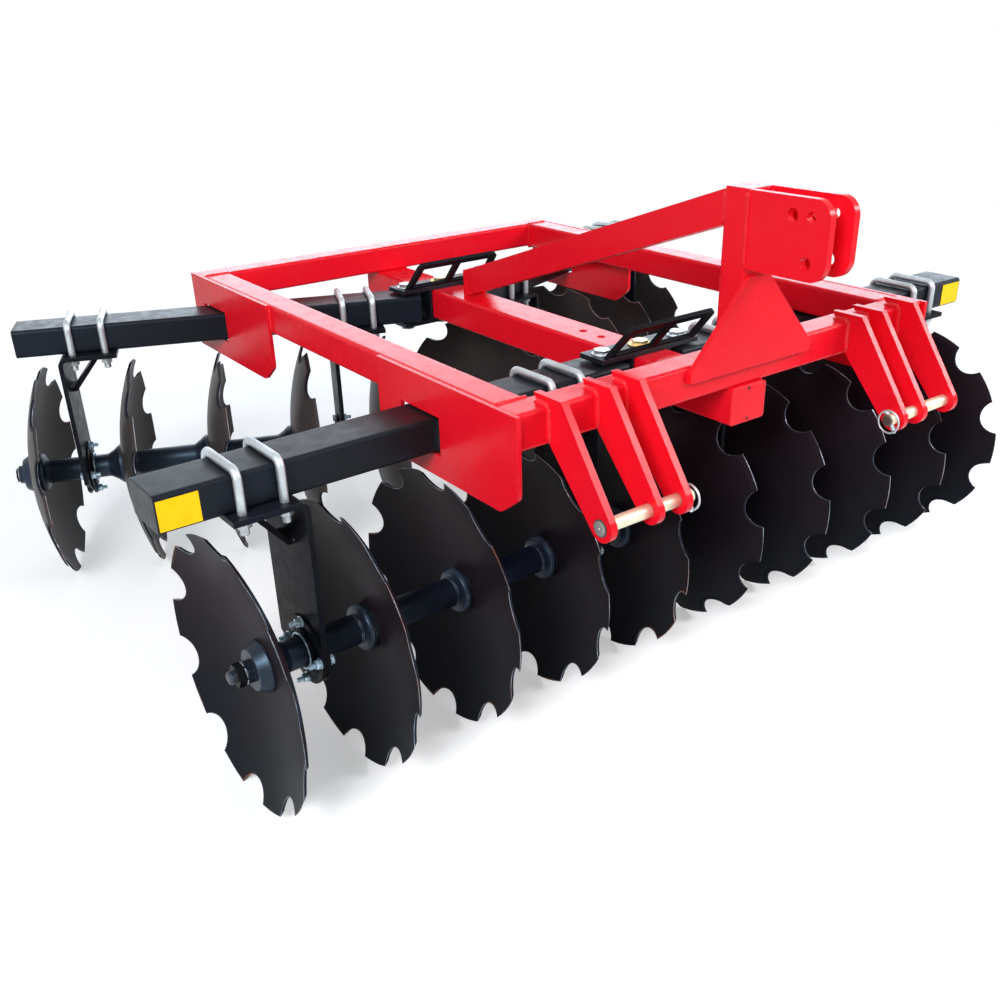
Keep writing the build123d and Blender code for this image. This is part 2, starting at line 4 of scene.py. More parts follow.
import bpy
import numpy as np
from bpy.props import FloatProperty, FloatVectorProperty, PointerProperty
from mathutils import Matrix, Vector


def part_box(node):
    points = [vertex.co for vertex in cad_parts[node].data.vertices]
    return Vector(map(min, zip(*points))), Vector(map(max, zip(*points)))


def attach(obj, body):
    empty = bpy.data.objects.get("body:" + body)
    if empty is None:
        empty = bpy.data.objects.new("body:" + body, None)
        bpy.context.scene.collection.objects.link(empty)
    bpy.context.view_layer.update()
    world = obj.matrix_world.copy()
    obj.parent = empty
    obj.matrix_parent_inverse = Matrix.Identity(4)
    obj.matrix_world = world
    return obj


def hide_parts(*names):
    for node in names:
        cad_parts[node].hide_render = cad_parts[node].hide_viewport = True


bl_info = {
    "name": "Disc harrow",
    "version": (1, 0, 0),
    "blender": (4, 5, 0),
    "location": "View3D > Sidebar > Harrow",
    "description": "Finishes, fasteners, welds and stage for a tandem disc harrow",
    "category": "Object",
}

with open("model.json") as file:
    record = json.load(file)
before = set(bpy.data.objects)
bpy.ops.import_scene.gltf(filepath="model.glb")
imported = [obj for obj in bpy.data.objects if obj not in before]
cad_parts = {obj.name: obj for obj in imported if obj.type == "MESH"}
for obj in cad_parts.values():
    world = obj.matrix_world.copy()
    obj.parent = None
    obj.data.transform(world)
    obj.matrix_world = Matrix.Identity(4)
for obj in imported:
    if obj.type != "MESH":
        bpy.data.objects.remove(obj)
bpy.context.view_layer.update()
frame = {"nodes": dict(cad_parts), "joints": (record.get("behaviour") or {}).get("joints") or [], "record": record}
nodes = frame["nodes"]

ENDS = ("front", "rear")
SIDES = ("right", "left")
GANGS = tuple((end, side) for end in ENDS for side in SIDES)
UP = np.array((0.0, 0.0, 1.0))
LEFTWARDS = np.array((1.0, 0.0, 0.0))

# The photograph was taken from here: metres from the middle of the front cross tube's front
# top edge, angles in degrees, focal length and centre in pixels of a 1000-pixel frame
CAMERA_PLACE = (-1.7113, -1.4428, 0.6702)
CAMERA_YAW = 36.12
CAMERA_PITCH = -26.75
CAMERA_ROLL = -1.39
FOCAL_PIXELS = 1033.7
CENTRE_PIXELS = (508.9, 531.2)
FRAME_PIXELS = 1000.0
SENSOR_MM = 36.0

# Pieces of one kind along an axle lie further apart than this
APART = 0.05

# A thread's groove, as a share of its pitch
THREAD_DEPTH = 0.61

# A disc's notches: how many, how far their centres lie outside the rim, and their radius
NOTCHES = 10
NOTCH_OUTSIDE = 0.012
NOTCH_RADIUS = 0.05

# Paint on edges: the width it wears over, and what shows there; the lighter red on edges is partly a painted highlight,
# and the vents' dark red is painted shade
EDGE_WEAR = 0.002
PLATING_WEAR = 0.0015
THIN_PAINT_AND_HIGHLIGHT = (0.86, 0.06, 0.075)
RED_CHIP = (0.07, 0.05, 0.05)
VENT_SHADE = (0.03, 0.002, 0.004)
WHITE = (1.0, 1.0, 1.0)

# Painted shade for two gaps in the weld round the centre beam's cap: how far inside its edge, and their depth
VENT_INSET = 0.008
VENT_DEPTH = 0.004

# Welds: how far a bead stops short of an edge, how deep it ripples, and its slow swells, each
# with its share of the bead's radius, radians a metre and phase
WELD_INSET = 0.004
WELD_RIPPLE = 0.11
WELD_WANDER = ((0.06, 91.0, 0.0), (0.04, 37.0, 1.0))

# A hanger's bar, and its strut: feet below the bar and out from the leg, half its width, and
# how thick its end is
HANGER_BAR = 0.012
STRUT_FALL = 0.104
STRUT_REACH = 0.1
STRUT_HALF = 0.028
STRUT_END = 0.012

# Nuts on a gang's end washers: across flats and height, with a spring washer's radii and
# thickness
WASHER_NUT = 0.0485
WASHER_NUT_HEIGHT = 0.0165
SPRING_WASHER = (0.02, 0.0254, 0.0012)


class HarrowPaint(bpy.types.PropertyGroup):
    """Colours of the enamels, platings and stickers."""

    red: FloatVectorProperty(
        name="Frame enamel", description="Red enamel of the frame", subtype="COLOR", default=(0.84, 0.007, 0.02)
    )
    black: FloatVectorProperty(
        name="Beam enamel",
        description="Black enamel of beams, hangers and brackets",
        subtype="COLOR",
        default=(0.009, 0.009, 0.0105),
    )
    disc: FloatVectorProperty(
        name="Disc enamel", description="Black enamel of the discs", subtype="COLOR", default=(0.008, 0.0078, 0.0088)
    )
    ground_edge: FloatVectorProperty(
        name="Ground edge", description="Bare steel on the discs' rims", subtype="COLOR", default=(0.4, 0.46, 0.54)
    )
    zinc: FloatVectorProperty(
        name="Zinc", description="Bright zinc plate", subtype="COLOR", default=(0.47, 0.51, 0.53)
    )
    blue_zinc: FloatVectorProperty(
        name="Blue zinc", description="Zinc plate of the bearing bolts", subtype="COLOR", default=(0.46, 0.68, 0.84)
    )
    yellow_zinc: FloatVectorProperty(
        name="Yellow zinc", description="Passivated zinc of pins, washers", subtype="COLOR", default=(0.62, 0.52, 0.3)
    )
    reflector: FloatVectorProperty(
        name="Reflector", description="Yellow sheeting on the beams", subtype="COLOR", default=(1.0, 0.58, 0.0)
    )


class HarrowFasteners(bpy.types.PropertyGroup):
    """Sizes of bolts, nuts, pins and welds."""

    flange_bolt_circle: FloatProperty(
        name="Flange bolt circle", description="Radius of the bearing bolts' circle", subtype="DISTANCE", default=0.069
    )
    flange_bolt: FloatProperty(
        name="Flange bolt", description="Diameter of the bearing bolts", subtype="DISTANCE", default=0.012
    )
    flange_nut: FloatProperty(
        name="Flange nut", description="Bearing bolts' nuts across flats", subtype="DISTANCE", default=0.019
    )
    clamp_bolt: FloatProperty(
        name="U-bolt rod", description="Diameter of the U-bolts' rod", subtype="DISTANCE", default=0.018
    )
    thread_pitch: FloatProperty(
        name="Thread pitch", description="Pitch of the U-bolts' threads", subtype="DISTANCE", default=0.0025
    )
    weld: FloatProperty(name="Weld", description="Radius of a weld bead", subtype="DISTANCE", default=0.005)
    ripple: FloatProperty(
        name="Weld ripple", description="Distance between a bead's ripples", subtype="DISTANCE", default=0.005
    )
    ring_wire: FloatProperty(
        name="Ring wire", description="Diameter of the lynch pins' ring wire", subtype="DISTANCE", default=0.0045
    )
    ring_radius: FloatProperty(
        name="Ring radius", description="Radius of the lynch pins' rings", subtype="DISTANCE", default=0.0265
    )
    pin_head: FloatProperty(
        name="Pin head", description="Radius of the hitch pins' heads", subtype="DISTANCE", default=0.0178
    )
    end_washer: FloatProperty(
        name="End washer", description="Depth of the washer at a gang's end", subtype="DISTANCE", default=0.028
    )


class HarrowStage(bpy.types.PropertyGroup):
    """Light and floor."""

    key: FloatProperty(name="Key", description="Power of the key lamp", unit="POWER", default=180.0)
    back: FloatProperty(name="Back", description="Power of the lamp behind", unit="POWER", default=210.0)
    strip: FloatProperty(name="Strip", description="Power of the strip at the front right", unit="POWER", default=125.0)
    top: FloatProperty(name="Top", description="Power of the small lamp above the front", unit="POWER", default=18.0)
    sky: FloatProperty(name="Sky", description="Strength of the light from all round", default=0.36, min=0.0)
    floor: FloatVectorProperty(
        name="Floor", description="Colour of the floor", subtype="COLOR", default=(0.8, 0.8, 0.8)
    )


def paint(name):
    return tuple(getattr(bpy.context.scene.harrow_paint, name))


def fasteners():
    return bpy.context.scene.harrow_fasteners


def scaled(colour, share):
    """A colour lighter or darker by a share, kept under white."""
    return tuple(min(c * share, 0.95) for c in colour)


def around(columns):
    """Angles of a whole turn, one for each of the columns."""
    return np.arange(columns) * 2 * pi / columns


def circle(axis, columns):
    """An axis at length one, and a direction square to it at the angle of each column."""
    axis = np.asarray(axis, float) / np.linalg.norm(axis)
    first = np.cross(UP if abs(axis[2]) < 0.9 else LEFTWARDS, axis)
    first /= np.linalg.norm(first)
    angle = around(columns)[:, None]
    return axis, np.cos(angle) * first + np.sin(angle) * np.cross(axis, first)


def closed_surface(grid, ring=False):
    """A grid of points, rows by columns by three, as points and faces: the columns close round,
    and the quad at (i, j) goes by (i, j + 1) and (i + 1, j + 1) to (i + 1, j). The first and
    last rows get flat caps, or with ring they close round as well."""
    rows, columns = grid.shape[:2]
    i, j = np.meshgrid(np.arange(rows if ring else rows - 1), np.arange(columns), indexing="ij")
    right = (j + 1) % columns
    below = (i + 1) % rows
    corners = (i * columns + j, i * columns + right, below * columns + right, below * columns + j)
    faces = np.stack(corners, axis=-1).reshape(-1, 4).tolist()
    if not ring:
        faces.append(list(range(columns))[::-1])
        faces.append(list(range((rows - 1) * columns, rows * columns)))
    return grid.reshape(-1, 3), faces


def turned(origin, axis, along, radii, columns=32):
    """A turned form: point (i, j) lies along[i] down the axis and radii[i, j] out from it, at
    the angle 2 pi j / columns."""
    axis, out = circle(axis, columns)
    radii = np.broadcast_to(np.asarray(radii, float).reshape(len(along), -1), (len(along), columns))
    return closed_surface(
        np.asarray(origin) + np.asarray(along, float)[:, None, None] * axis + radii[:, :, None] * out
    )


def hex_head(origin, axis, width, height, columns=48):
    """A six-sided head or nut with chamfered ends: the radius at an angle is the smaller of
    the hexagon's, half the width over the cosine of the angle from the flat's middle, and a
    cone's, which rises over the chamfer at each end."""
    from_flat = (around(columns) + pi / 6) % (pi / 3) - pi / 6
    flat = width / 2 / np.cos(from_flat)
    share = 0.08
    chamfer = np.array((0.0, 0.035, share, 1 - share, 0.965, 1.0))
    rise = np.minimum(chamfer, 1 - chamfer) / share
    cone = width / 2 * (0.94 + 0.22 * np.minimum(rise, 1.0))
    return turned(origin, axis, chamfer * height, np.minimum(flat[None, :], cone[:, None]), columns)


def threaded_end(origin, axis, radius, length, pitch, columns=28):
    """A screw thread with a chamfered tip: the radius falls by a triangle wave whose phase
    turns once round the axis in each pitch."""
    along = np.linspace(0.0, length, int(length / pitch * 6) + 1)
    phase = (along[:, None] / pitch - (np.arange(columns) / columns)[None, :]) % 1.0
    groove = THREAD_DEPTH * pitch * (1 - np.abs(2 * phase - 1))
    tip = np.clip((length - along) / (1.2 * pitch), 0.0, 1.0)[:, None]
    return turned(origin, axis, along, (radius - groove) * (0.82 + 0.18 * tip), columns)


def washer(origin, axis, inner, outer, thickness, columns=40):
    """A flat ring with broken edges, its section carried round the axis."""
    edge = thickness * 0.25
    along = np.array((0.0, 0.0, edge, thickness - edge, thickness, thickness))
    radius = np.array((inner, outer - edge, outer, outer, outer - edge, inner))
    axis, out = circle(axis, columns)
    grid = np.asarray(origin) + along[None, :, None] * axis + radius[None, :, None] * out[:, None, :]
    points, faces = closed_surface(grid, ring=True)
    return points, [face[::-1] for face in faces]


def spaced(points, step):
    """Points at an even spacing along straight runs through the given points, and their
    distances from the first."""
    points = np.asarray(points, float)
    far = np.concatenate(((0.0,), np.cumsum(np.linalg.norm(np.diff(points, axis=0), axis=1))))
    at = np.linspace(0.0, far[-1], max(int(round(far[-1] / step)), 4) + 1)
    return np.stack([np.interp(at, far, points[:, k]) for k in range(3)], axis=-1), at


def weld_bead(points, scale=1.0):
    """A weld: a round section carried along the runs, whose radius swells and sinks once in
    each ripple, with a slow wander, and thins to its two ends."""
    size = fasteners().weld * scale
    ripple = fasteners().ripple
    line, at = spaced(points, ripple / 4)
    ahead = np.gradient(line, axis=0)
    ahead /= np.linalg.norm(ahead, axis=1)[:, None]
    first = np.cross(ahead, (0.31, 0.47, 0.83))
    first /= np.linalg.norm(first, axis=1)[:, None]
    second = np.cross(ahead, first)
    wave = 1 + WELD_RIPPLE * np.abs(np.sin(pi * at / ripple))
    for depth, rate, phase in WELD_WANDER:
        wave = wave + depth * np.sin(at * rate + phase)
    wave *= np.sqrt(np.clip(np.minimum(at, at[-1] - at) / (size * 1.6), 0.12, 1.0))
    angle = around(10)[None, :, None]
    out = np.cos(angle) * first[:, None, :] + np.sin(angle) * second[:, None, :]
    return closed_surface(line[:, None, :] + size * wave[:, None, None] * out)


def joined(surfaces):
    """Several surfaces as one list of points and one of faces."""
    points, faces, start = [], [], 0
    for some_points, some_faces in surfaces:
        points.append(some_points)
        faces.extend([[k + start for k in face] for face in some_faces])
        start += len(some_points)
    return np.vstack(points), faces


def piece(name, surfaces, body, finish, smooth=40.0):
    """A mesh of surfaces with outward faces, riding on a body, with a finish made earlier."""
    points, faces = joined(surfaces)
    mesh = bpy.data.meshes.new(name)
    mesh.from_pydata(points.tolist(), [], faces)
    mesh.validate()
    mesh.shade_smooth()
    mesh.set_sharp_from_angle(angle=radians(smooth))
    mesh.materials.append(bpy.data.materials[finish])
    made = bpy.data.objects.new(name, mesh)
    bpy.context.scene.collection.objects.link(made)
    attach(made, body)
    return made


def welds(name, beads, body, finish, scale=1.0):
    piece(name, [weld_bead(points, scale) for points in beads], body, finish, 70.0)


def joint(name):
    return next(each for each in frame["joints"] if each["name"] == name)


def box(node):
    low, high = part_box(node)
    return np.array(low), np.array(high)


def node_points(node):
    """A CAD node's vertices."""
    mesh = nodes[node].data
    points = np.empty(len(mesh.vertices) * 3)
    mesh.vertices.foreach_get("co", points)
    return points.reshape(-1, 3)


def gang_axes(end, side):
    """A gang's hub, and its directions along the axle and across it. Across is mirrored on the
    left, so both sides have the same places."""
    spin = joint(f"{end}_{side}_gang_spin")
    along = np.array(spin["axis"], float)
    along /= np.linalg.norm(along)
    across = np.cross(UP, along) * (1.0 if side == "right" else -1.0)
    return np.array(spin["pos_m"], float), along, across


def gang_points(end, side, node):
    """A node's vertices as places along its gang, across it and up."""
    hub, along, across = gang_axes(end, side)
    away = node_points(f"{end}_{node}_{side}") - hub
    return np.stack((away @ along, away @ across, away @ UP), axis=-1)


def at_gang(end, side, along, across, up):
    hub, along_dir, across_dir = gang_axes(end, side)
    return hub + along * along_dir + across * across_dir + up * UP


def off_axle(points):
    """Distances from the first axis."""
    return np.hypot(points[:, 1], points[:, 2])


def groups(values, gap):
    """Lowest and highest of each run of values with no gap wider than the given one."""
    values = np.unique(np.round(values, 5))
    cuts = np.flatnonzero(np.diff(values) > gap)
    return list(zip(values[np.r_[0, cuts + 1]], values[np.r_[cuts, len(values) - 1]]))


class Tree:
    """Shader nodes, made by kind with their sockets and settings."""

    def __init__(self, tree):
        self.tree = tree

    def node(self, kind, sockets=None, **settings):
        made = self.tree.nodes.new(kind)
        for key, value in settings.items():
            setattr(made, key, value)
        for key, value in (sockets or {}).items():
            self.feed(made.inputs[key], value)
        return made

    def feed(self, socket, value):
        if isinstance(value, bpy.types.NodeSocket):
            self.tree.links.new(value, socket)
        elif isinstance(value, (tuple, list)) and len(value) == 3 and socket.type == "RGBA":
            socket.default_value = (*value, 1.0)
        else:
            socket.default_value = value

    def parts(self, place):
        """A place's X, Y and Z."""
        return self.node("ShaderNodeSeparateXYZ", {"Vector": place}).outputs

    def math(self, operation, *values):
        return self.node("ShaderNodeMath", dict(enumerate(values)), operation=operation).outputs["Value"]

    def plus(self, first, second):
        return self.math("ADD", first, second)

    def minus(self, first, second):
        return self.math("SUBTRACT", first, second)

    def times(self, first, second):
        return self.math("MULTIPLY", first, second)

    def length(self, first, second):
        """The root of the sum of two squares."""
        return self.math("SQRT", self.plus(self.times(first, first), self.times(second, second)))

    def between(self, value, low, high, to_low=0.0, to_high=1.0, smooth=False):
        """A value's way from low to high, clamped, as a number from to_low to to_high."""
        sockets = {"Value": value, "From Min": low, "From Max": high, "To Min": to_low, "To Max": to_high}
        kind = "SMOOTHSTEP" if smooth else "LINEAR"
        return self.node("ShaderNodeMapRange", sockets, interpolation_type=kind).outputs["Result"]

    def spread(self, noise, low, high):
        """A noise's middle part as a number from low to high."""
        return self.between(noise, 0.3, 0.7, low, high)

    def mixed(self, share, first, second):
        return self.node("ShaderNodeMix", {0: share, 6: first, 7: second}, data_type="RGBA").outputs[2]

    def seen(self):
        """One on rays from the camera, straight, mirrored or through glass."""
        rays = self.node("ShaderNodeLightPath").outputs
        straight = self.math("MAXIMUM", rays["Is Camera Ray"], rays["Is Glossy Ray"])
        return self.math("MAXIMUM", straight, rays["Is Transmission Ray"])


class Finish(Tree):
    """A material on the places of its object."""

    def __init__(self, name):
        self.material = bpy.data.materials.new(name)
        self.material.use_nodes = True
        super().__init__(self.material.node_tree)
        self.shader = next(n for n in self.tree.nodes if n.type == "BSDF_PRINCIPLED")
        self.place = self.node("ShaderNodeTexCoord").outputs["Object"]

    def set(self, **values):
        for key, value in values.items():
            self.feed(self.shader.inputs[key.replace("_", " ")], value)

    def noise(self, scale, detail=3.0, roughness=0.55, place=None):
        sockets = {"Vector": place or self.place, "Scale": scale, "Detail": detail, "Roughness": roughness}
        return self.node("ShaderNodeTexNoise", sockets).outputs["Fac"]

    def placed(self, location, rotation=(0.0, 0.0, 0.0), kind="POINT"):
        sockets = {"Vector": self.place, "Location": location, "Rotation": rotation}
        return self.node("ShaderNodeMapping", sockets, vector_type=kind).outputs["Vector"]

    def rounded(self, radius):
        """Normals that turn over an edge as they would on a round of the given radius."""
        return self.node("ShaderNodeBevel", {"Radius": radius}, samples=4).outputs["Normal"]

    def edges(self, radius):
        """How near a sharp edge is: one less the dot product of the rounded and true normals."""
        true = self.node("ShaderNodeNewGeometry").outputs["Normal"]
        dot = self.node("ShaderNodeVectorMath", {0: self.rounded(radius), 1: true}, operation="DOT_PRODUCT")
        return self.between(dot.outputs["Value"], 0.985, 0.85)

    def relief(self, height, strength, distance, corner=None):
        """Bumps by height, over edges rounded to the corner's radius."""
        sockets = {"Strength": strength, "Distance": distance, "Height": height}
        if corner:
            sockets["Normal"] = self.rounded(corner)
        self.set(Normal=self.node("ShaderNodeBump", sockets).outputs["Normal"])


def red_enamel(name, corner, vents=None):
    """Glossy red over steel: slow changes of depth, orange peel, paint thinned to a lighter red
    on edges that is partly a painted highlight, and a few bare chips along edges. Vents are dark
    spots of painted shade where two gaps in the weld round a tube's cap would be: its middle,
    the cap's half height and the places' depth."""
    finish = Finish(name)
    red = paint("red")
    fine = finish.noise(24.0, 4.0)
    edge = finish.edges(EDGE_WEAR)
    colour = finish.mixed(finish.between(finish.noise(2.3), 0.35, 0.7), red, scaled(red, 0.94))
    # Lighter red on edges: partly paint thinned there, partly a painted highlight
    thin_paint_and_highlight = finish.times(edge, finish.between(fine, 0.4, 0.7, 0.15, 0.6))
    colour = finish.mixed(thin_paint_and_highlight, colour, THIN_PAINT_AND_HIGHLIGHT)
    chips = finish.times(edge, finish.between(finish.noise(70.0, 4.0, 0.7), 0.66, 0.7))
    colour = finish.mixed(chips, colour, RED_CHIP)
    # Painted shade: dark spots stand where the weld's two gaps would be; nothing is cut into the cap
    if vents:
        middle, half, depth = vents
        x, y, z = finish.parts(finish.placed(tuple(-c for c in middle)))
        far = finish.length(x, finish.minus(half, finish.math("ABSOLUTE", z)))
        gap = finish.times(finish.between(y, depth, depth / 2), finish.between(far, 0.0044, 0.0034))
        colour = finish.mixed(gap, colour, VENT_SHADE)
    rough = finish.plus(finish.spread(fine, 0.2, 0.3), finish.times(chips, 0.3))
    finish.set(Base_Color=colour, Roughness=rough, Specular_IOR_Level=0.15)
    finish.relief(finish.plus(finish.noise(180.0, 2.0), finish.times(fine, 0.8)), 0.12, 0.0006, corner)
    return finish.material


def black_enamel(
    name, colour, corner=0.002, gloss=0.34, grain=150.0, bump=0.12, worn_and_highlight=(0.09, 0.09, 0.1), shine=0.1, tint=WHITE
):
    """Satin black over steel: a slow blue-tinted drift, partly random tone and partly painted
    blue sheen, specks of dust, and grey on edges, partly paint rubbing through and partly a
    painted edge highlight.
    """
    finish = Finish(name)
    fine = finish.noise(33.0, 5.0, 0.6)
    # Painted sheen: the blue-tinted drift is partly random tone and partly a painted blue sheen
    bluish_tone_and_sheen = tuple(c * k for c, k in zip(colour, (1.0, 1.25, 1.8)))
    base = finish.mixed(finish.between(finish.noise(3.1, 4.0), 0.35, 0.68), colour, bluish_tone_and_sheen)
    dust = finish.between(finish.noise(420.0, 2.0), 0.7, 0.8, 0.0, 0.35)
    base = finish.mixed(dust, base, scaled(colour, 4))
    # Grey on edges: partly paint rubbing through, partly a painted edge highlight
    rubbed_and_highlight = finish.times(finish.edges(EDGE_WEAR), finish.between(fine, 0.42, 0.66, 0.05, 0.8))
    finish.set(
        Base_Color=finish.mixed(rubbed_and_highlight, base, worn_and_highlight),
        Roughness=finish.spread(fine, gloss - 0.05, gloss + 0.1),
        Specular_IOR_Level=shine,
        Specular_Tint=tint,
    )
    finish.relief(finish.plus(finish.noise(grain), fine), bump, 0.0007, corner)
    return finish.material


def hollow_face(points, rim):
    """A gang's disc pitch, where the first disc's hollow face meets its rim, and how far that
    face falls back for each metre inwards, all from the discs' points along their axle."""
    radius = off_axle(points)
    at_rim = groups(points[radius > rim - 0.0004][:, 0], APART)
    pitch = (at_rim[-1][0] - at_rim[0][0]) / (len(at_rim) - 1)
    inwards = 0.038
    near = (radius > rim - inwards - 0.0005) & (radius < rim - inwards + 0.0005)
    inner = groups(points[near][:, 0], APART)
    return float(pitch), float(at_rim[0][0]), float((inner[0][0] - at_rim[0][0]) / inwards)


def disc_enamel(end, side):
    """Black dipped disc: rings and smears about the axle, a painted light gradient, bluer below
    and browner above, a taupe layer that is light dust on the front gangs and mostly painted
    sheen on the rear gangs, and a bright ground line with brown heat marks on the hollow side's
    edge. Distances to a notch are those to one circle, since the angle is folded into a notch's
    share of the turn."""
    finish = Finish(f"disc_enamel_{end}_{side}")
    hub, along, _ = gang_axes(end, side)
    turn = float(np.arctan2(along[1], along[0]))
    local = finish.placed(tuple(hub), (0.0, 0.0, turn), "TEXTURE")
    axial, across, up = finish.parts(local)
    radius = finish.length(across, up)
    angle = finish.math("ARCTAN2", up, across)
    points = gang_points(end, side, "discs")
    rim = float(off_axle(points).max())
    step = 2 * pi / NOTCHES
    folded = finish.minus(finish.math("FLOORED_MODULO", angle, step), step / 2)
    notch_x = finish.minus(finish.times(radius, finish.math("COSINE", folded)), rim + NOTCH_OUTSIDE)
    notch_y = finish.times(radius, finish.math("SINE", folded))
    to_notch = finish.minus(finish.length(notch_x, notch_y), NOTCH_RADIUS)
    to_rim = finish.minus(rim, radius)
    to_edge = finish.math("MINIMUM", to_rim, to_notch)
    pitch, hollow_rim, slope = hollow_face(points, rim)
    folded_x = finish.math("FLOORED_MODULO", finish.minus(axial, hollow_rim - pitch / 2), pitch)
    behind = finish.minus(folded_x, finish.plus(finish.times(to_rim, slope), pitch / 2))
    front = finish.between(behind, 0.0016, 0.0009)

    rings = finish.noise(6.0, 5.0, 0.6, local)
    sockets = {"X": finish.times(radius, 90.0), "Y": finish.times(angle, 1.3)}
    streaks = finish.noise(1.0, 4.0, 0.6, finish.node("ShaderNodeCombineXYZ", sockets).outputs["Vector"])
    black = paint("disc")
    # Painted light: the colour turns bluer below and browner above, by height on the disc
    painted_warm_top = tuple(c * k for c, k in zip(black, (1.9, 1.15, 1.5)))
    painted_cool_bottom = tuple(c * k for c, k in zip(black, (0.8, 1.1, 1.5)))
    painted_light_share = finish.between(finish.plus(up, finish.times(rings, 0.5)), 0.05, 0.4)
    base = finish.mixed(painted_light_share, painted_cool_bottom, painted_warm_top)
    base = finish.mixed(finish.between(streaks, 0.45, 0.75, 0.0, 0.25), base, scaled(black, 1.5))
    smear = finish.between(finish.noise(16.0, 5.0, 0.7), 0.62, 0.78, 0.0, 0.25)
    base = finish.mixed(smear, base, (0.035, 0.032, 0.032))
    # Dust and painted sheen: the heavy taupe share on the rear gangs stands in for their grazing reflection; the front
    # gangs get a little dust
    dust = finish.times(finish.spread(rings, 0.65, 1.0), 0.5 if end == "rear" else 0.02)
    base = finish.mixed(dust, base, (0.13, 0.112, 0.102))

    heat = finish.times(finish.between(finish.noise(5.0, 2.0), 0.5, 0.58), front)
    heat = finish.times(finish.between(to_edge, 0.0045, 0.001), heat)
    base = finish.mixed(finish.times(heat, 0.8), base, (0.34, 0.13, 0.04))
    wall = finish.times(finish.between(to_notch, 0.0009, 0.0004), finish.between(behind, 0.0006, 0.0014))
    base = finish.mixed(wall, base, (0.014, 0.018, 0.026))
    line = finish.times(finish.between(to_edge, 0.0014, 0.0008), front)
    line = finish.times(line, finish.between(finish.noise(11.0, 4.0, 0.65), 0.4, 0.62, 0.1, 0.95))
    dull = finish.times(finish.between(behind, 0.0012, 0.002), finish.between(to_edge, 0.012, 0.009))
    finish.set(
        Base_Color=finish.mixed(line, base, paint("ground_edge")),
        Metallic=finish.times(line, 0.9),
        Roughness=finish.plus(finish.spread(rings, 0.3, 0.42), finish.times(dull, 0.35)),
        Specular_IOR_Level=0.035,
    )
    finish.relief(finish.plus(finish.times(streaks, 0.25), finish.noise(120.0)), 0.05, 0.0003)
    return finish.material


def plated(name, colour, tint, rough=0.3, metal=1.0):
    """Plated steel: cloudy spangle, a tint that comes and goes, dull scuffs on edges."""
    finish = Finish(name)
    cloud = finish.noise(46.0, 4.0, 0.6)
    base = finish.mixed(finish.between(finish.noise(11.0), 0.38, 0.66), colour, tint)
    base = finish.mixed(finish.between(cloud, 0.5, 0.72, 0.0, 0.4), base, scaled(colour, 0.62))
    base = finish.mixed(finish.times(finish.edges(PLATING_WEAR), 0.35), base, scaled(colour, 1.3))
    rough = finish.spread(cloud, rough - 0.06, rough + 0.14)
    finish.set(Base_Color=base, Metallic=metal, Roughness=rough)
    finish.relief(finish.plus(cloud, finish.noise(300.0, 2.0)), 0.1, 0.0004, PLATING_WEAR)
    return finish.material


def bracket_bolt_finish():
    """Yellow passivated middle bolt between two bright zinc pivot bolts."""
    finish = Finish("bracket_bolt_plating")
    x, _, _ = finish.parts(finish.place)
    aside = finish.between(finish.math("ABSOLUTE", x), 0.05, 0.06)
    cloud = finish.noise(60.0, 4.0, 0.6)
    base = finish.mixed(aside, paint("yellow_zinc"), paint("zinc"))
    base = finish.mixed(finish.between(cloud, 0.45, 0.7, 0.0, 0.5), base, (0.35, 0.3, 0.22))
    base = finish.mixed(finish.times(finish.edges(PLATING_WEAR), 0.4), base, (0.85, 0.84, 0.8))
    finish.set(Base_Color=base, Metallic=1.0, Roughness=finish.spread(cloud, 0.24, 0.42))
    finish.relief(cloud, 0.1, 0.0004, PLATING_WEAR)
    return finish.material


def hitch_pin_finish(side):
    """Yellow zinc on the pin's length and bare turned steel on its outer end, darker in a ring
    near the head's rim."""
    finish = Finish(f"hitch_pin_plating_{side}")
    pin_low, pin_high = box(f"hitch_pin_{side}")
    clevis_low, clevis_high = box(f"clevis_{side}")
    middle = (pin_low + pin_high) / 2
    face, tip = (clevis_low[0], pin_high[0]) if side == "right" else (-clevis_high[0], -pin_low[0])
    x, y, z = finish.parts(finish.placed((0.0, -middle[1], -middle[2])))
    along = finish.times(x, 1.0 if side == "right" else -1.0)
    bare = finish.between(along, face + 0.001, face)
    stained = finish.between(along, tip - 0.0035, tip - 0.0028)
    radius = finish.length(y, z)
    head = fasteners().pin_head
    rings = finish.math("SINE", finish.times(radius, 2600.0))
    cloud = finish.noise(70.0, 4.0, 0.6)
    plate = finish.mixed(finish.between(finish.noise(13.0), 0.4, 0.65), (0.82, 0.78, 0.56), (0.78, 0.79, 0.6))
    plate = finish.mixed(finish.between(cloud, 0.5, 0.7, 0.0, 0.35), plate, paint("yellow_zinc"))
    steel = finish.mixed(finish.between(cloud, 0.4, 0.7), (0.5, 0.48, 0.46), (0.34, 0.31, 0.29))
    steel = finish.mixed(finish.between(rings, 0.0, 1.0, 0.0, 0.25), steel, (0.6, 0.58, 0.56))
    steel = finish.mixed(finish.between(radius, head * 0.8, head * 0.93), steel, (0.06, 0.04, 0.038))
    base = finish.mixed(stained, finish.mixed(bare, plate, steel), (0.15, 0.11, 0.095))
    base = finish.mixed(finish.times(finish.edges(PLATING_WEAR), 0.3), base, (0.8, 0.78, 0.7))
    finish.set(Base_Color=base, Metallic=0.6, Roughness=finish.spread(cloud, 0.3, 0.46))
    finish.relief(finish.plus(cloud, finish.times(rings, 0.15)), 0.1, 0.0004, 0.001)
    return finish.material


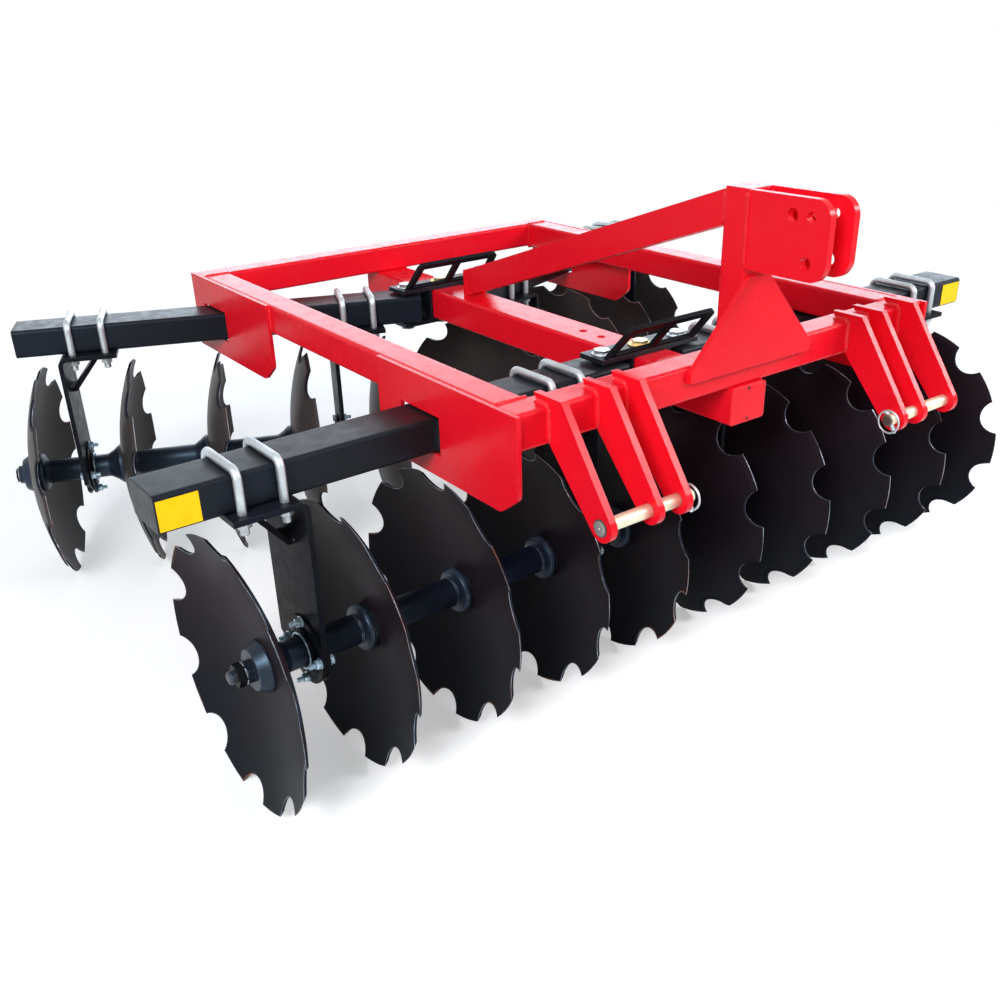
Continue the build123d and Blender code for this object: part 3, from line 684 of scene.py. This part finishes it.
def sheeting():
    """Yellow reflecting sheet: a fine honeycomb under a clear face."""
    finish = Finish("reflector_sheet")
    sockets = {"Vector": finish.place, "Scale": 240.0, "Randomness": 0.35}
    cells = finish.node("ShaderNodeTexVoronoi", sockets, feature="DISTANCE_TO_EDGE")
    wall = finish.between(cells.outputs["Distance"], 0.1, 0.02)
    base = finish.mixed(finish.times(wall, 0.45), paint("reflector"), (0.9, 0.42, 0.0))
    base = finish.mixed(finish.between(finish.noise(40.0), 0.4, 0.7, 0.0, 0.3), base, (1.0, 0.74, 0.02))
    rough = finish.between(cells.outputs["Distance"], 0.0, 0.3, 0.45, 0.3)
    finish.set(Base_Color=base, Roughness=rough, Specular_IOR_Level=0.2)
    finish.relief(wall, 0.15, 0.0003)
    return finish.material


def weld_finish(name, colour, rough):
    """The enamel over a weld: ripples hold more paint and show darker."""
    finish = Finish(name)
    soot = finish.noise(90.0, 4.0, 0.6)
    finish.set(
        Base_Color=finish.mixed(finish.between(soot, 0.4, 0.7, 0.0, 0.5), colour, scaled(colour, 0.6)),
        Roughness=finish.spread(soot, rough - 0.05, rough + 0.1),
        Specular_IOR_Level=0.2,
        Coat_Weight=0.15,
        Coat_Roughness=0.12,
    )
    finish.relief(soot, 0.25, 0.001)
    return finish.material


class HARROW_OT_finishes(bpy.types.Operator):
    """Give every solid of the frame and the gangs its enamel, casting or plating"""

    bl_idname = "harrow.finishes"
    bl_label = "Finishes"

    def execute(self, context):
        black = paint("black")
        # Painted sheen: the castings' black is tinted blue to stand in for their blue highlights
        black_with_blue_sheen = (black[0], black[1] * 1.2, black[2] * 1.6)
        low, high = box("centre_beam")
        cap = np.array(((low[0] + high[0]) / 2, low[1], (low[2] + high[2]) / 2))
        vents = (cap, (high[2] - low[2]) / 2 - VENT_INSET, VENT_DEPTH)
        tube_red = red_enamel("tube_red", 0.006)
        own = {node: tube_red for node in ("side_rails", "cross_tubes", "mast")}
        own["centre_beam"] = red_enamel("centre_beam_red", 0.006, vents)
        bracket = black_enamel("bracket_black", black, shine=0.3, tint=(0.7, 0.86, 1.0))
        bolts = bracket_bolt_finish()
        for end in ENDS:
            own[f"{end}_bracket"] = bracket
            own[f"{end}_bracket_bolts"] = bolts
        beam_black = black_enamel("gang_beam_black", black, 0.006, shine=0.16, tint=(0.62, 0.8, 1.0))
        for end, side in GANGS:
            own[f"{end}_gang_beam_{side}"] = beam_black
            own[f"{end}_discs_{side}"] = disc_enamel(end, side)
        for side in SIDES:
            own[f"hitch_pin_{side}"] = hitch_pin_finish(side)
        by_slot = {
            "red_paint": red_enamel("plate_red", 0.0015),
            "black_paint": black_enamel("hanger_black", black, shine=0.05),
            "black_casting": black_enamel(
                "spool_casting",
                black_with_blue_sheen,
                corner=0.001,
                gloss=0.36,
                grain=75.0,
                bump=0.7,
                # Light blue-grey on the castings' edges: partly rubbing, partly a painted edge highlight
                worn_and_highlight=(0.34, 0.38, 0.44),
                shine=0.5,
                tint=(0.5, 0.74, 1.0),
            ),
            "zinc": plated("bright_zinc", paint("zinc"), (0.6, 0.66, 0.7), rough=0.42, metal=0.85),
            "yellow_zinc": plated("yellow_zinc", paint("yellow_zinc"), (0.66, 0.66, 0.36), rough=0.28),
            "reflector": sheeting(),
        }
        plated("blue_zinc", paint("blue_zinc"), (0.62, 0.74, 0.8), rough=0.26, metal=0.65)
        weld_finish("red_weld", paint("red"), 0.24)
        weld_finish("black_weld", black, 0.36)
        for row in frame["record"]["subparts"]:
            node = row["node"]
            finish = own[node] if node in own else by_slot[row["material_slot"]]
            for each in nodes[node].material_slots:
                each.material = finish
        return {"FINISHED"}


class HARROW_OT_bearing_bolts(bpy.types.Operator):
    """Four bolts through each bearing's flanges, and the bright ring round its collar"""

    bl_idname = "harrow.bearing_bolts"
    bl_label = "Bearing bolts"

    def execute(self, context):
        size = fasteners()
        bolts_out = size.flange_bolt_circle
        hole, rim, thick, pitch = 0.0055, 0.0125, 0.0025, 0.00175
        nut, head = 0.0105, 0.0075
        ring_in, ring_out, ring_deep = 0.003, 0.0012, 0.004
        for end, side in GANGS:
            _, along, _ = gang_axes(end, side)
            surfaces = []
            spread = gang_points(end, side, "bearings")
            radius = off_axle(spread)
            for low, high in groups(spread[radius > bolts_out + 0.004][:, 0], APART):
                for angle in np.arange(4) * pi / 2:
                    place = (bolts_out * cos(angle), bolts_out * sin(angle))
                    nut_seat = at_gang(end, side, low, *place)
                    head_seat = at_gang(end, side, high, *place)
                    surfaces += [
                        washer(nut_seat, -along, hole, rim, thick),
                        washer(head_seat, along, hole, rim, thick),
                        hex_head(nut_seat - along * thick, -along, size.flange_nut, nut),
                        hex_head(head_seat + along * thick, along, size.flange_nut, head),
                        threaded_end(nut_seat - along * 0.012, -along, size.flange_bolt / 2, 0.014, pitch),
                    ]
            for low, _ in groups(spread[:, 0], APART):
                face = (spread[:, 0] > low - 0.001) & (spread[:, 0] < low + 0.002)
                collar = float(radius[face].max())
                seat = at_gang(end, side, low + 0.003, 0.0, 0.0)
                surfaces.append(washer(seat, -along, collar - ring_in, collar + ring_out, ring_deep, 64))
            piece(f"{end}_bearing_bolts_{side}", surfaces, f"{end}_beam_{side}", "blue_zinc")
        return {"FINISHED"}


def spool_profile(length, tube, flange):
    """A spool's places along the axle and radii there: a rim and a cone with a step on it, the
    tube with a low ridge, and a quarter ellipse up to a shoulder with three steps down before
    the next disc."""
    root = tube + 0.0004
    shoulder = flange - 0.003
    turn = np.linspace(0.0, pi / 2, 9)
    start = ((0.0, flange - 0.0015), (0.0012, flange), (0.0082, flange), (0.0095, flange - 0.0014))
    cone = ((0.021, tube + 0.0138), (0.0216, tube + 0.0124), (0.04, tube + 0.0012), (0.046, tube))
    before_end = (
        (0.034, tube),
        (0.0334, tube + 0.0009),
        (0.0322, tube + 0.0009),
        (0.0316, tube),
        *zip(0.029 - 0.011 * (1 - np.cos(turn)), root + (shoulder - root) * np.sin(turn)),
        (0.0172, flange - 0.0022),
        (0.0122, flange - 0.0022),
        (0.0115, flange - 0.0042),
        (0.0102, flange - 0.0042),
        (0.0096, flange - 0.0058),
        (0.0052, flange - 0.0058),
        (0.0046, flange - 0.0105),
        (0.0, flange - 0.0105),
    )
    return np.array((*start, *cone, *((length - place, radius) for place, radius in before_end))).T


class HARROW_OT_spool_castings(bpy.types.Operator):
    """Cast spools and coned end washers in place of the plain ones, and a nut on each washer"""

    bl_idname = "harrow.spool_castings"
    bl_label = "Spool castings"

    def execute(self, context):
        depth = fasteners().end_washer
        columns = 72
        for end, side in GANGS:
            hub, along, _ = gang_axes(end, side)
            plain = gang_points(end, side, "spools")
            discs = gang_points(end, side, "discs")
            outer = off_axle(plain)
            flange = float(outer.max())
            plates = groups(discs[off_axle(discs) < flange][:, 0], APART)
            first_spool = (plain[:, 0] > plates[0][1]) & (plain[:, 0] < plates[1][0])
            tube = float(outer[(outer > 0.025) & first_spool].min())
            surfaces, nuts, rings = [], [], []
            for (_, start), (stop, _) in zip(plates, plates[1:]):
                surfaces.append(turned(hub + along * start, along, *spool_profile(stop - start, tube, flange), columns))
            washer_at = np.array((0.0, 0.001, 0.0045, depth - 0.0008, depth))
            washer_out = np.array((flange - 0.0012, flange, flange, flange - 0.0125, flange - 0.0138))
            for seat, way in ((plates[0][0], -along), (plates[-1][1], along)):
                surfaces.append(turned(hub + along * seat, way, washer_at, washer_out, columns))
                nut_seat = hub + along * seat + way * (depth - 0.0005)
                nuts.append(hex_head(nut_seat, way, WASHER_NUT, WASHER_NUT_HEIGHT, columns))
                ring_seat = nut_seat + way * (WASHER_NUT_HEIGHT - 0.0002)
                rings.append(washer(ring_seat, way, *SPRING_WASHER, 64))
            body = f"{end}_gang_{side}"
            name = f"{end}_spool_castings_{side}"
            castings = piece(name, surfaces, body, "spool_casting", 25.0)
            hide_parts(f"{end}_spools_{side}")
            piece(f"{end}_washer_nuts_{side}", nuts, body, "spool_casting")
            piece(f"{end}_spring_washers_{side}", rings, body, "bright_zinc")
        return {"FINISHED"}


class HARROW_OT_hitch_pins(bpy.types.Operator):
    """Turned hitch pins with a chamfered, centred head, in place of the plain ones"""

    bl_idname = "harrow.hitch_pins"
    bl_label = "Hitch pins"

    def execute(self, context):
        head = fasteners().pin_head
        for side in SIDES:
            low, high = box(f"hitch_pin_{side}")
            start = (low + high) / 2
            start[0] = low[0] if side == "right" else high[0]
            away = node_points(f"hitch_pin_{side}") - start
            shank = float(off_axle(away)[np.abs(away[:, 0]) > 0.008].max())
            length = float(high[0] - low[0])
            along = (0.0016, 0.0, 0.0, 0.0014, 0.0036, 0.004, 0.004, length - 0.003, length)
            radii = (0.0004, 0.0022, head - 0.0028, head, head, head - 0.0006, shank, shank, shank - 0.0025)
            inwards = LEFTWARDS if side == "right" else -LEFTWARDS
            surfaces = [turned(start, inwards, along, radii, 48)]
            finish = f"hitch_pin_plating_{side}"
            pin = piece(f"turned_hitch_pin_{side}", surfaces, "frame", finish)
            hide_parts(f"hitch_pin_{side}")
        return {"FINISHED"}


class HARROW_OT_clamp_threads(bpy.types.Operator):
    """Threads on the U-bolts' ends, under their nuts"""

    bl_idname = "harrow.clamp_threads"
    bl_label = "U-bolt threads"

    def execute(self, context):
        size = fasteners()
        rod = size.clamp_bolt / 2
        for end, side in GANGS:
            surfaces = []
            bolts = gang_points(end, side, "u_bolts")
            low = bolts[:, 2].min()
            shank = bolts[bolts[:, 2] > gang_points(end, side, "hangers")[:, 2].max() + 0.01]
            for start, stop in groups(shank[:, 0], 0.03):
                for across in (shank[:, 1].min() + rod, shank[:, 1].max() - rod):
                    tip = at_gang(end, side, (start + stop) / 2, across, low)
                    surfaces.append(threaded_end(tip + UP * 0.013, -UP, rod + 0.0004, 0.0145, size.thread_pitch))
            piece(f"{end}_clamp_threads_{side}", surfaces, f"{end}_beam_{side}", "bright_zinc")
        return {"FINISHED"}


class HARROW_OT_axle_threads(bpy.types.Operator):
    """The thread at each axle's end, outside its nut"""

    bl_idname = "harrow.axle_threads"
    bl_label = "Axle threads"

    def execute(self, context):
        for end, side in GANGS:
            hub, along, _ = gang_axes(end, side)
            axle = gang_points(end, side, "axle")
            tip = axle[axle[:, 0] < axle[:, 0].min() + 0.004]
            start = hub + along * (tip[:, 0].min() + 0.0085)
            surfaces = [threaded_end(start, -along, float(off_axle(tip).max()) + 0.0008, 0.0155, 0.003, 40)]
            piece(f"{end}_axle_thread_{side}", surfaces, f"{end}_gang_{side}", "spool_casting")
        return {"FINISHED"}


class HARROW_OT_bracket_washers(bpy.types.Operator):
    """A washer under each bolt head and nut of the two brackets"""

    bl_idname = "harrow.bracket_washers"
    bl_label = "Bracket washers"

    def execute(self, context):
        for end in ENDS:
            plate_low, plate_high = box(f"{end}_bracket")
            _, bolt_high = box(f"{end}_bracket_bolts")
            middle = (plate_low[1] + plate_high[1]) / 2
            pivot = abs(joint(f"{end}_right_beam_swing")["pos_m"][0])
            outer = (bolt_high[0] - pivot) * 1.22
            for name, places, finish, width in (
                ("pivot_washers", (-pivot, pivot), "zinc", 1.0),
                ("lock_washers", (0.0,), "yellow_zinc", 1.2),
            ):
                surfaces = [
                    washer(np.array((place, middle, height)), way, outer * 0.6, outer * width, 0.0032)
                    for place in places
                    for height, way in ((plate_high[2], UP), (plate_low[2], -UP))
                ]
                material = "bright_zinc" if finish == "zinc" else finish
                piece(f"{end}_{name}", surfaces, f"{end}_carriage", material)
        return {"FINISHED"}


class HARROW_OT_lynch_pins(bpy.types.Operator):
    """A leaning lynch pin with a spring ring at the inner end of each hitch pin"""

    bl_idname = "harrow.lynch_pins"
    bl_label = "Lynch pins"

    def execute(self, context):
        size = fasteners()
        wire = size.ring_wire / 2
        along = (0.0, 0.0015, 0.007, 0.008, 0.0085, 0.051, 0.0555, 0.0575)
        radii = (0.0065, 0.0085, 0.0085, 0.0068, 0.0055, 0.0055, 0.0042, 0.0015)
        above, past_plate, past_pin, below_head = 0.024, 0.011, 0.0075, 0.0035
        leaning = radians(31.0)
        lean = np.array((0.0, sin(leaning), cos(leaning)))
        aside = np.cross(lean, LEFTWARDS)
        angle = np.linspace(0.0, 2 * pi, 73)[:-1, None]
        out = np.cos(angle) * lean + np.sin(angle) * aside
        turn = around(12)[None, :, None]
        for side, inwards in zip(SIDES, (LEFTWARDS, -LEFTWARDS)):
            low, high = box(f"hitch_pin_{side}")
            clevis_low, clevis_high = box(f"clevis_{side}")
            place = (low + high) / 2
            place[0] = (clevis_high if side == "right" else clevis_low)[0]
            place += inwards * past_plate
            ring = place + inwards * past_pin - lean * below_head + size.ring_radius * out
            grid = ring[:, None, :] + wire * np.cos(turn) * out[:, None, :] + wire * np.sin(turn) * LEFTWARDS
            surfaces = [turned(place + lean * above, -lean, along, radii, 24), closed_surface(grid, ring=True)]
            piece(f"lynch_pin_{side}", surfaces, "frame", "bright_zinc")
        return {"FINISHED"}


class HARROW_OT_frame_welds(bpy.types.Operator):
    """Beads where the frame's tubes, mast, brace, gussets and clevises meet"""

    bl_idname = "harrow.frame_welds"
    bl_label = "Frame welds"

    def execute(self, context):
        cross_low, cross_high = box("cross_tubes")
        under, over = cross_low[2], cross_high[2]
        tube = over - under - 0.001
        welds("frame_welds", self.frame(cross_low, cross_high, tube), "frame", "red_weld")
        front, beads = cross_low[1], []
        for side in SIDES:
            points = node_points(f"clevis_{side}")
            back = points[:, 1].max() - WELD_INSET
            for plate in groups(points[:, 0], 0.025):
                for face in plate:
                    run = ((back, over + 0.001), (front + 0.007, over + 0.001))
                    run += ((front + 0.001, over - 0.006), (front - 0.001, under + WELD_INSET))
                    beads.append([(face, y, z) for y, z in run])
        welds("clevis_welds", beads, "frame", "red_weld", 1.6)
        return {"FINISHED"}

    def frame(self, cross_low, cross_high, tube):
        """Runs along the cross tubes' ends, the mast, its plates and brace, the centre beam and
        the gusset plates."""
        under, over = cross_low[2], cross_high[2]
        rail_low, rail_high = box("side_rails")
        beads = []
        for turn in (-1.0, 1.0):
            inner, outer = turn * (cross_high[0] - tube), turn * (cross_high[0] - 0.001)
            for y in (rail_low[1], rail_high[1]):
                corners = ((outer, over - 0.0015), (inner, over - 0.0015), (inner, under), (outer, under))
                beads.append([(x, y, z) for x, z in corners])
        low, high = box("mast")
        back = high[1]
        right = ((low[0] + WELD_INSET, back), (low[0], back - WELD_INSET), (low[0], low[1] + 0.006))
        left = ((high[0] - WELD_INSET, back), (high[0], back - WELD_INSET), (high[0], low[1] + 0.006))
        beads.append([(x, y, over) for x, y in (right[0], *left)])
        beads.append([(x, y, over) for x, y in right])
        low, high = box("top_link_plates")
        for turn in (-1.0, 1.0):
            for x in (turn * high[0], turn * (high[0] - 0.016)):
                beads.append([(x, high[1] - 0.002, z) for z in (high[2] - WELD_INSET, low[2] + WELD_INSET)])
        low, high = box("mast_front_plate")
        for ends, z in (
            ((low[0] + 0.012, -0.045), over),
            ((0.045, high[0] - 0.012), over),
            ((low[0] + WELD_INSET, high[0] - WELD_INSET), low[2]),
        ):
            beads.append([(x, low[1] + 0.012, z) for x in ends])
        low, high = box("mast_brace")
        for turn in (-1.0, 1.0):
            beads.append([(turn * (high[0] - 0.003), back, z) for z in (high[2] - WELD_INSET, high[2] - 0.076)])
        beads.append([(x, high[1], low[2]) for x in (low[0], high[0])])
        low, high = box("centre_beam")
        for turn in (-1.0, 1.0):
            for start in (cross_low[1], cross_high[1] - tube):
                ends = (start + WELD_INSET, start + tube - WELD_INSET)
                beads.append([(turn * (high[0] - 0.003), y, high[2]) for y in ends])
        for side in SIDES:
            for end in ENDS:
                low, high = box(f"{end}_gusset_plate_{side}")
                x = high[0] if side == "right" else low[0]
                ends = (max(low[1], cross_low[1]) + 0.01, min(high[1], cross_high[1]) - 0.006)
                beads.append([(x, y, under) for y in ends])
                y = high[1] if end == "front" else low[1]
                beads.append([(x, y, z) for z in (under + 0.008, over - 0.006)])
        return beads


class HARROW_OT_bracket_welds(bpy.types.Operator):
    """Beads along the brackets' sleeves and handles"""

    bl_idname = "harrow.bracket_welds"
    bl_label = "Bracket welds"

    def execute(self, context):
        for end in ENDS:
            low, high = box(f"{end}_bracket")
            handle_low, handle_high = box(f"{end}_bracket_handle")
            sleeve = box("centre_beam")[1][0] + 0.008
            beads = [
                [(turn * sleeve, y, height) for y in (low[1] + WELD_INSET, high[1] - WELD_INSET)]
                for turn in (-1.0, 1.0)
                for height in (high[2] - 0.012, low[2] + 0.012)
            ]
            beads.append([(x, low[1] + 0.012, high[2]) for x in (handle_low[0] + 0.006, handle_high[0] - 0.006)])
            welds(f"{end}_bracket_welds", beads, f"{end}_carriage", "black_weld")
        return {"FINISHED"}


class HARROW_OT_hanger_welds(bpy.types.Operator):
    """Beads where each hanger's strut meets its plate and leg"""

    bl_idname = "harrow.hanger_welds"
    bl_label = "Hanger welds"

    def execute(self, context):
        for end, side in GANGS:
            hangers = gang_points(end, side, "hangers")
            top = hangers[:, 2].max() - HANGER_BAR
            foot = top - STRUT_FALL
            middle = (hangers[:, 1].max() + hangers[:, 1].min()) / 2
            right, left = middle - STRUT_HALF, middle + STRUT_HALF
            runs = []
            for _, high in groups(hangers[:, 0], APART):
                leg = high - HANGER_BAR
                for across in (right - 0.002, left + 0.002):
                    runs.append(((leg, across, foot), (leg, across, foot + STRUT_END)))
                runs.append(((leg, right, foot), (leg, left, foot)))
                runs.append(((leg - STRUT_REACH, right, top), (leg - STRUT_REACH, left, top)))
            beads = [[at_gang(end, side, *place) for place in run] for run in runs]
            welds(f"{end}_hanger_welds_{side}", beads, f"{end}_beam_{side}", "black_weld")
        return {"FINISHED"}


class HARROW_OT_stage(bpy.types.Operator):
    """Floor, world, lamps and the camera at the photograph's place"""

    bl_idname = "harrow.stage"
    bl_label = "Stage"

    def execute(self, context):
        stage = context.scene.harrow_stage
        context.scene.view_settings.view_transform = "Standard"
        self.camera(context)
        self.floor(context, stage)
        self.world(context, stage)
        self.lamps(context, stage)
        return {"FINISHED"}

    def camera(self, context):
        low, high = box("cross_tubes")
        place = Vector(CAMERA_PLACE) + Vector((0.0, low[1], high[2]))
        yaw, pitch, roll = radians(CAMERA_YAW), radians(CAMERA_PITCH), radians(CAMERA_ROLL)
        right = Vector((cos(yaw), -sin(yaw), 0.0))
        ahead = Vector((sin(yaw) * cos(pitch), cos(yaw) * cos(pitch), sin(pitch)))
        above = right.cross(ahead)
        turned_right = cos(roll) * right + sin(roll) * above
        turned_above = -sin(roll) * right + cos(roll) * above
        turn = Matrix((turned_right, turned_above, -ahead)).transposed()
        lens = bpy.data.cameras.new("camera")
        lens.sensor_width = SENSOR_MM
        lens.lens = FOCAL_PIXELS * SENSOR_MM / FRAME_PIXELS
        lens.shift_x = (FRAME_PIXELS / 2 - CENTRE_PIXELS[0]) / FRAME_PIXELS
        lens.shift_y = (CENTRE_PIXELS[1] - FRAME_PIXELS / 2) / FRAME_PIXELS
        lens.clip_end = 200.0
        camera = bpy.data.objects.new("camera", lens)
        camera.matrix_world = Matrix.Translation(place) @ turn.to_4x4()
        context.scene.collection.objects.link(camera)
        context.scene.camera = camera

    def floor(self, context, stage):
        """A wide sheet that turns pale to the camera and keeps the shadow on it."""
        size = 40.0
        mesh = bpy.data.meshes.new("floor")
        corners = [(-size, -size, 0.0), (size, -size, 0.0), (size, size, 0.0), (-size, size, 0.0)]
        mesh.from_pydata(corners, [], [(0, 1, 2, 3)])
        finish = Finish("floor")
        pale = tuple(stage.floor)
        base = finish.mixed(finish.between(finish.noise(1.7), 0.3, 0.7), pale, scaled(pale, 0.985))
        distance = finish.node("ShaderNodeVectorMath", {0: finish.place}, operation="LENGTH").outputs["Value"]
        far = finish.between(distance, 1.8, 4.5, smooth=True)
        finish.set(Base_Color=finish.mixed(far, base, (0.0, 0.0, 0.0)), Roughness=0.9, Specular_IOR_Level=0.0)
        finish.relief(finish.noise(60.0), 0.02, 0.001)
        glow = finish.times(finish.seen(), finish.between(far, 0.0, 1.0, 0.4, 1.0))
        finish.set(Emission_Color=WHITE, Emission_Strength=glow)
        mesh.materials.append(finish.material)
        floor = bpy.data.objects.new("floor", mesh)
        context.scene.collection.objects.link(floor)

    def world(self, context, stage):
        """White to the camera; a pale sky, a little bluer overhead, to the object."""
        world = bpy.data.worlds.new("studio")
        context.scene.world = world
        world.use_nodes = True
        world.node_tree.nodes.clear()
        tree = Tree(world.node_tree)
        _, _, up = tree.parts(tree.node("ShaderNodeTexCoord").outputs["Generated"])
        colour = tree.mixed(tree.between(up, -0.2, 0.9), (0.92, 0.95, 1.0), (0.86, 0.93, 1.0))
        sky = tree.node("ShaderNodeBackground", {"Color": colour, "Strength": stage.sky})
        white = tree.node("ShaderNodeBackground", {"Color": WHITE, "Strength": 1.0})
        shown = {0: tree.seen(), 1: sky.outputs["Background"], 2: white.outputs["Background"]}
        mix = tree.node("ShaderNodeMixShader", shown)
        tree.node("ShaderNodeOutputWorld", {"Surface": mix.outputs["Shader"]})

    def lamps(self, context, stage):
        """Soft boxes: a key at the left, a wide low one behind whose light slides along the top
        faces, a strip at the front right that the clevises' front edges mirror, and a small one
        above the front that the spools mirror. Each has its sides, its place, the place it aims
        at, the direction of its first side, and its colour."""
        for name, sides, place, aim, long_side, colour in (
            ("key", (1.7, 1.7), (-3.8, -2.5, 3.1), (0.0, 0.0, 0.6), (0.0, 0.0, 1.0), (0.95, 0.98, 1.0)),
            ("back", (8.8, 2.6), (3.35, 4.2, 1.85), (0.3, 0.0, 0.6), (0.85, -0.52, 0.0), (0.74, 0.87, 1.0)),
            ("strip", (2.4, 0.75), (2.85, -3.0, 2.55), (0.1, -0.95, 0.75), (2.1, 0.8, -0.7), WHITE),
            ("top", (1.6, 0.7), (0.5, -2.6, 3.5), (-0.6, -0.6, 0.3), (1.0, 0.0, 0.0), (0.85, 0.93, 1.0)),
        ):
            lamp = bpy.data.lights.new(name, "AREA")
            lamp.shape = "RECTANGLE"
            lamp.size, lamp.size_y = sides
            lamp.energy = getattr(stage, name)
            lamp.color = colour
            away = (Vector(place) - Vector(aim)).normalized()
            long_way = Vector(long_side)
            long_way = (long_way - long_way.dot(away) * away).normalized()
            light = bpy.data.objects.new(name, lamp)
            turn = Matrix((long_way, away.cross(long_way), away)).transposed()
            light.matrix_world = Matrix.Translation(place) @ turn.to_4x4()
            context.scene.collection.objects.link(light)


class HARROW_PT_panel(bpy.types.Panel):
    """Lists the harrow's steps, colours and sizes"""

    bl_idname = "HARROW_PT_panel"
    bl_label = "Disc harrow"
    bl_space_type = "VIEW_3D"
    bl_region_type = "UI"
    bl_category = "Harrow"

    def draw(self, context):
        for operator in OPERATORS:
            self.layout.operator(operator.bl_idname)
        for group in (context.scene.harrow_paint, context.scene.harrow_fasteners, context.scene.harrow_stage):
            column = self.layout.column()
            for name in group.__annotations__:
                column.prop(group, name)


OPERATORS = (
    HARROW_OT_finishes,
    HARROW_OT_bearing_bolts,
    HARROW_OT_spool_castings,
    HARROW_OT_hitch_pins,
    HARROW_OT_clamp_threads,
    HARROW_OT_axle_threads,
    HARROW_OT_bracket_washers,
    HARROW_OT_lynch_pins,
    HARROW_OT_frame_welds,
    HARROW_OT_bracket_welds,
    HARROW_OT_hanger_welds,
    HARROW_OT_stage,
)
CLASSES = (HarrowPaint, HarrowFasteners, HarrowStage, *OPERATORS, HARROW_PT_panel)


def register():
    for each in CLASSES:
        bpy.utils.register_class(each)
    bpy.types.Scene.harrow_paint = PointerProperty(type=HarrowPaint)
    bpy.types.Scene.harrow_fasteners = PointerProperty(type=HarrowFasteners)
    bpy.types.Scene.harrow_stage = PointerProperty(type=HarrowStage)


def unregister():
    del bpy.types.Scene.harrow_stage
    del bpy.types.Scene.harrow_fasteners
    del bpy.types.Scene.harrow_paint
    for each in reversed(CLASSES):
        bpy.utils.unregister_class(each)


def main():
    register()
    for operator in OPERATORS:
        group, name = operator.bl_idname.split(".")
        getattr(getattr(bpy.ops, group), name)()


if __name__ == "__main__":
    main()
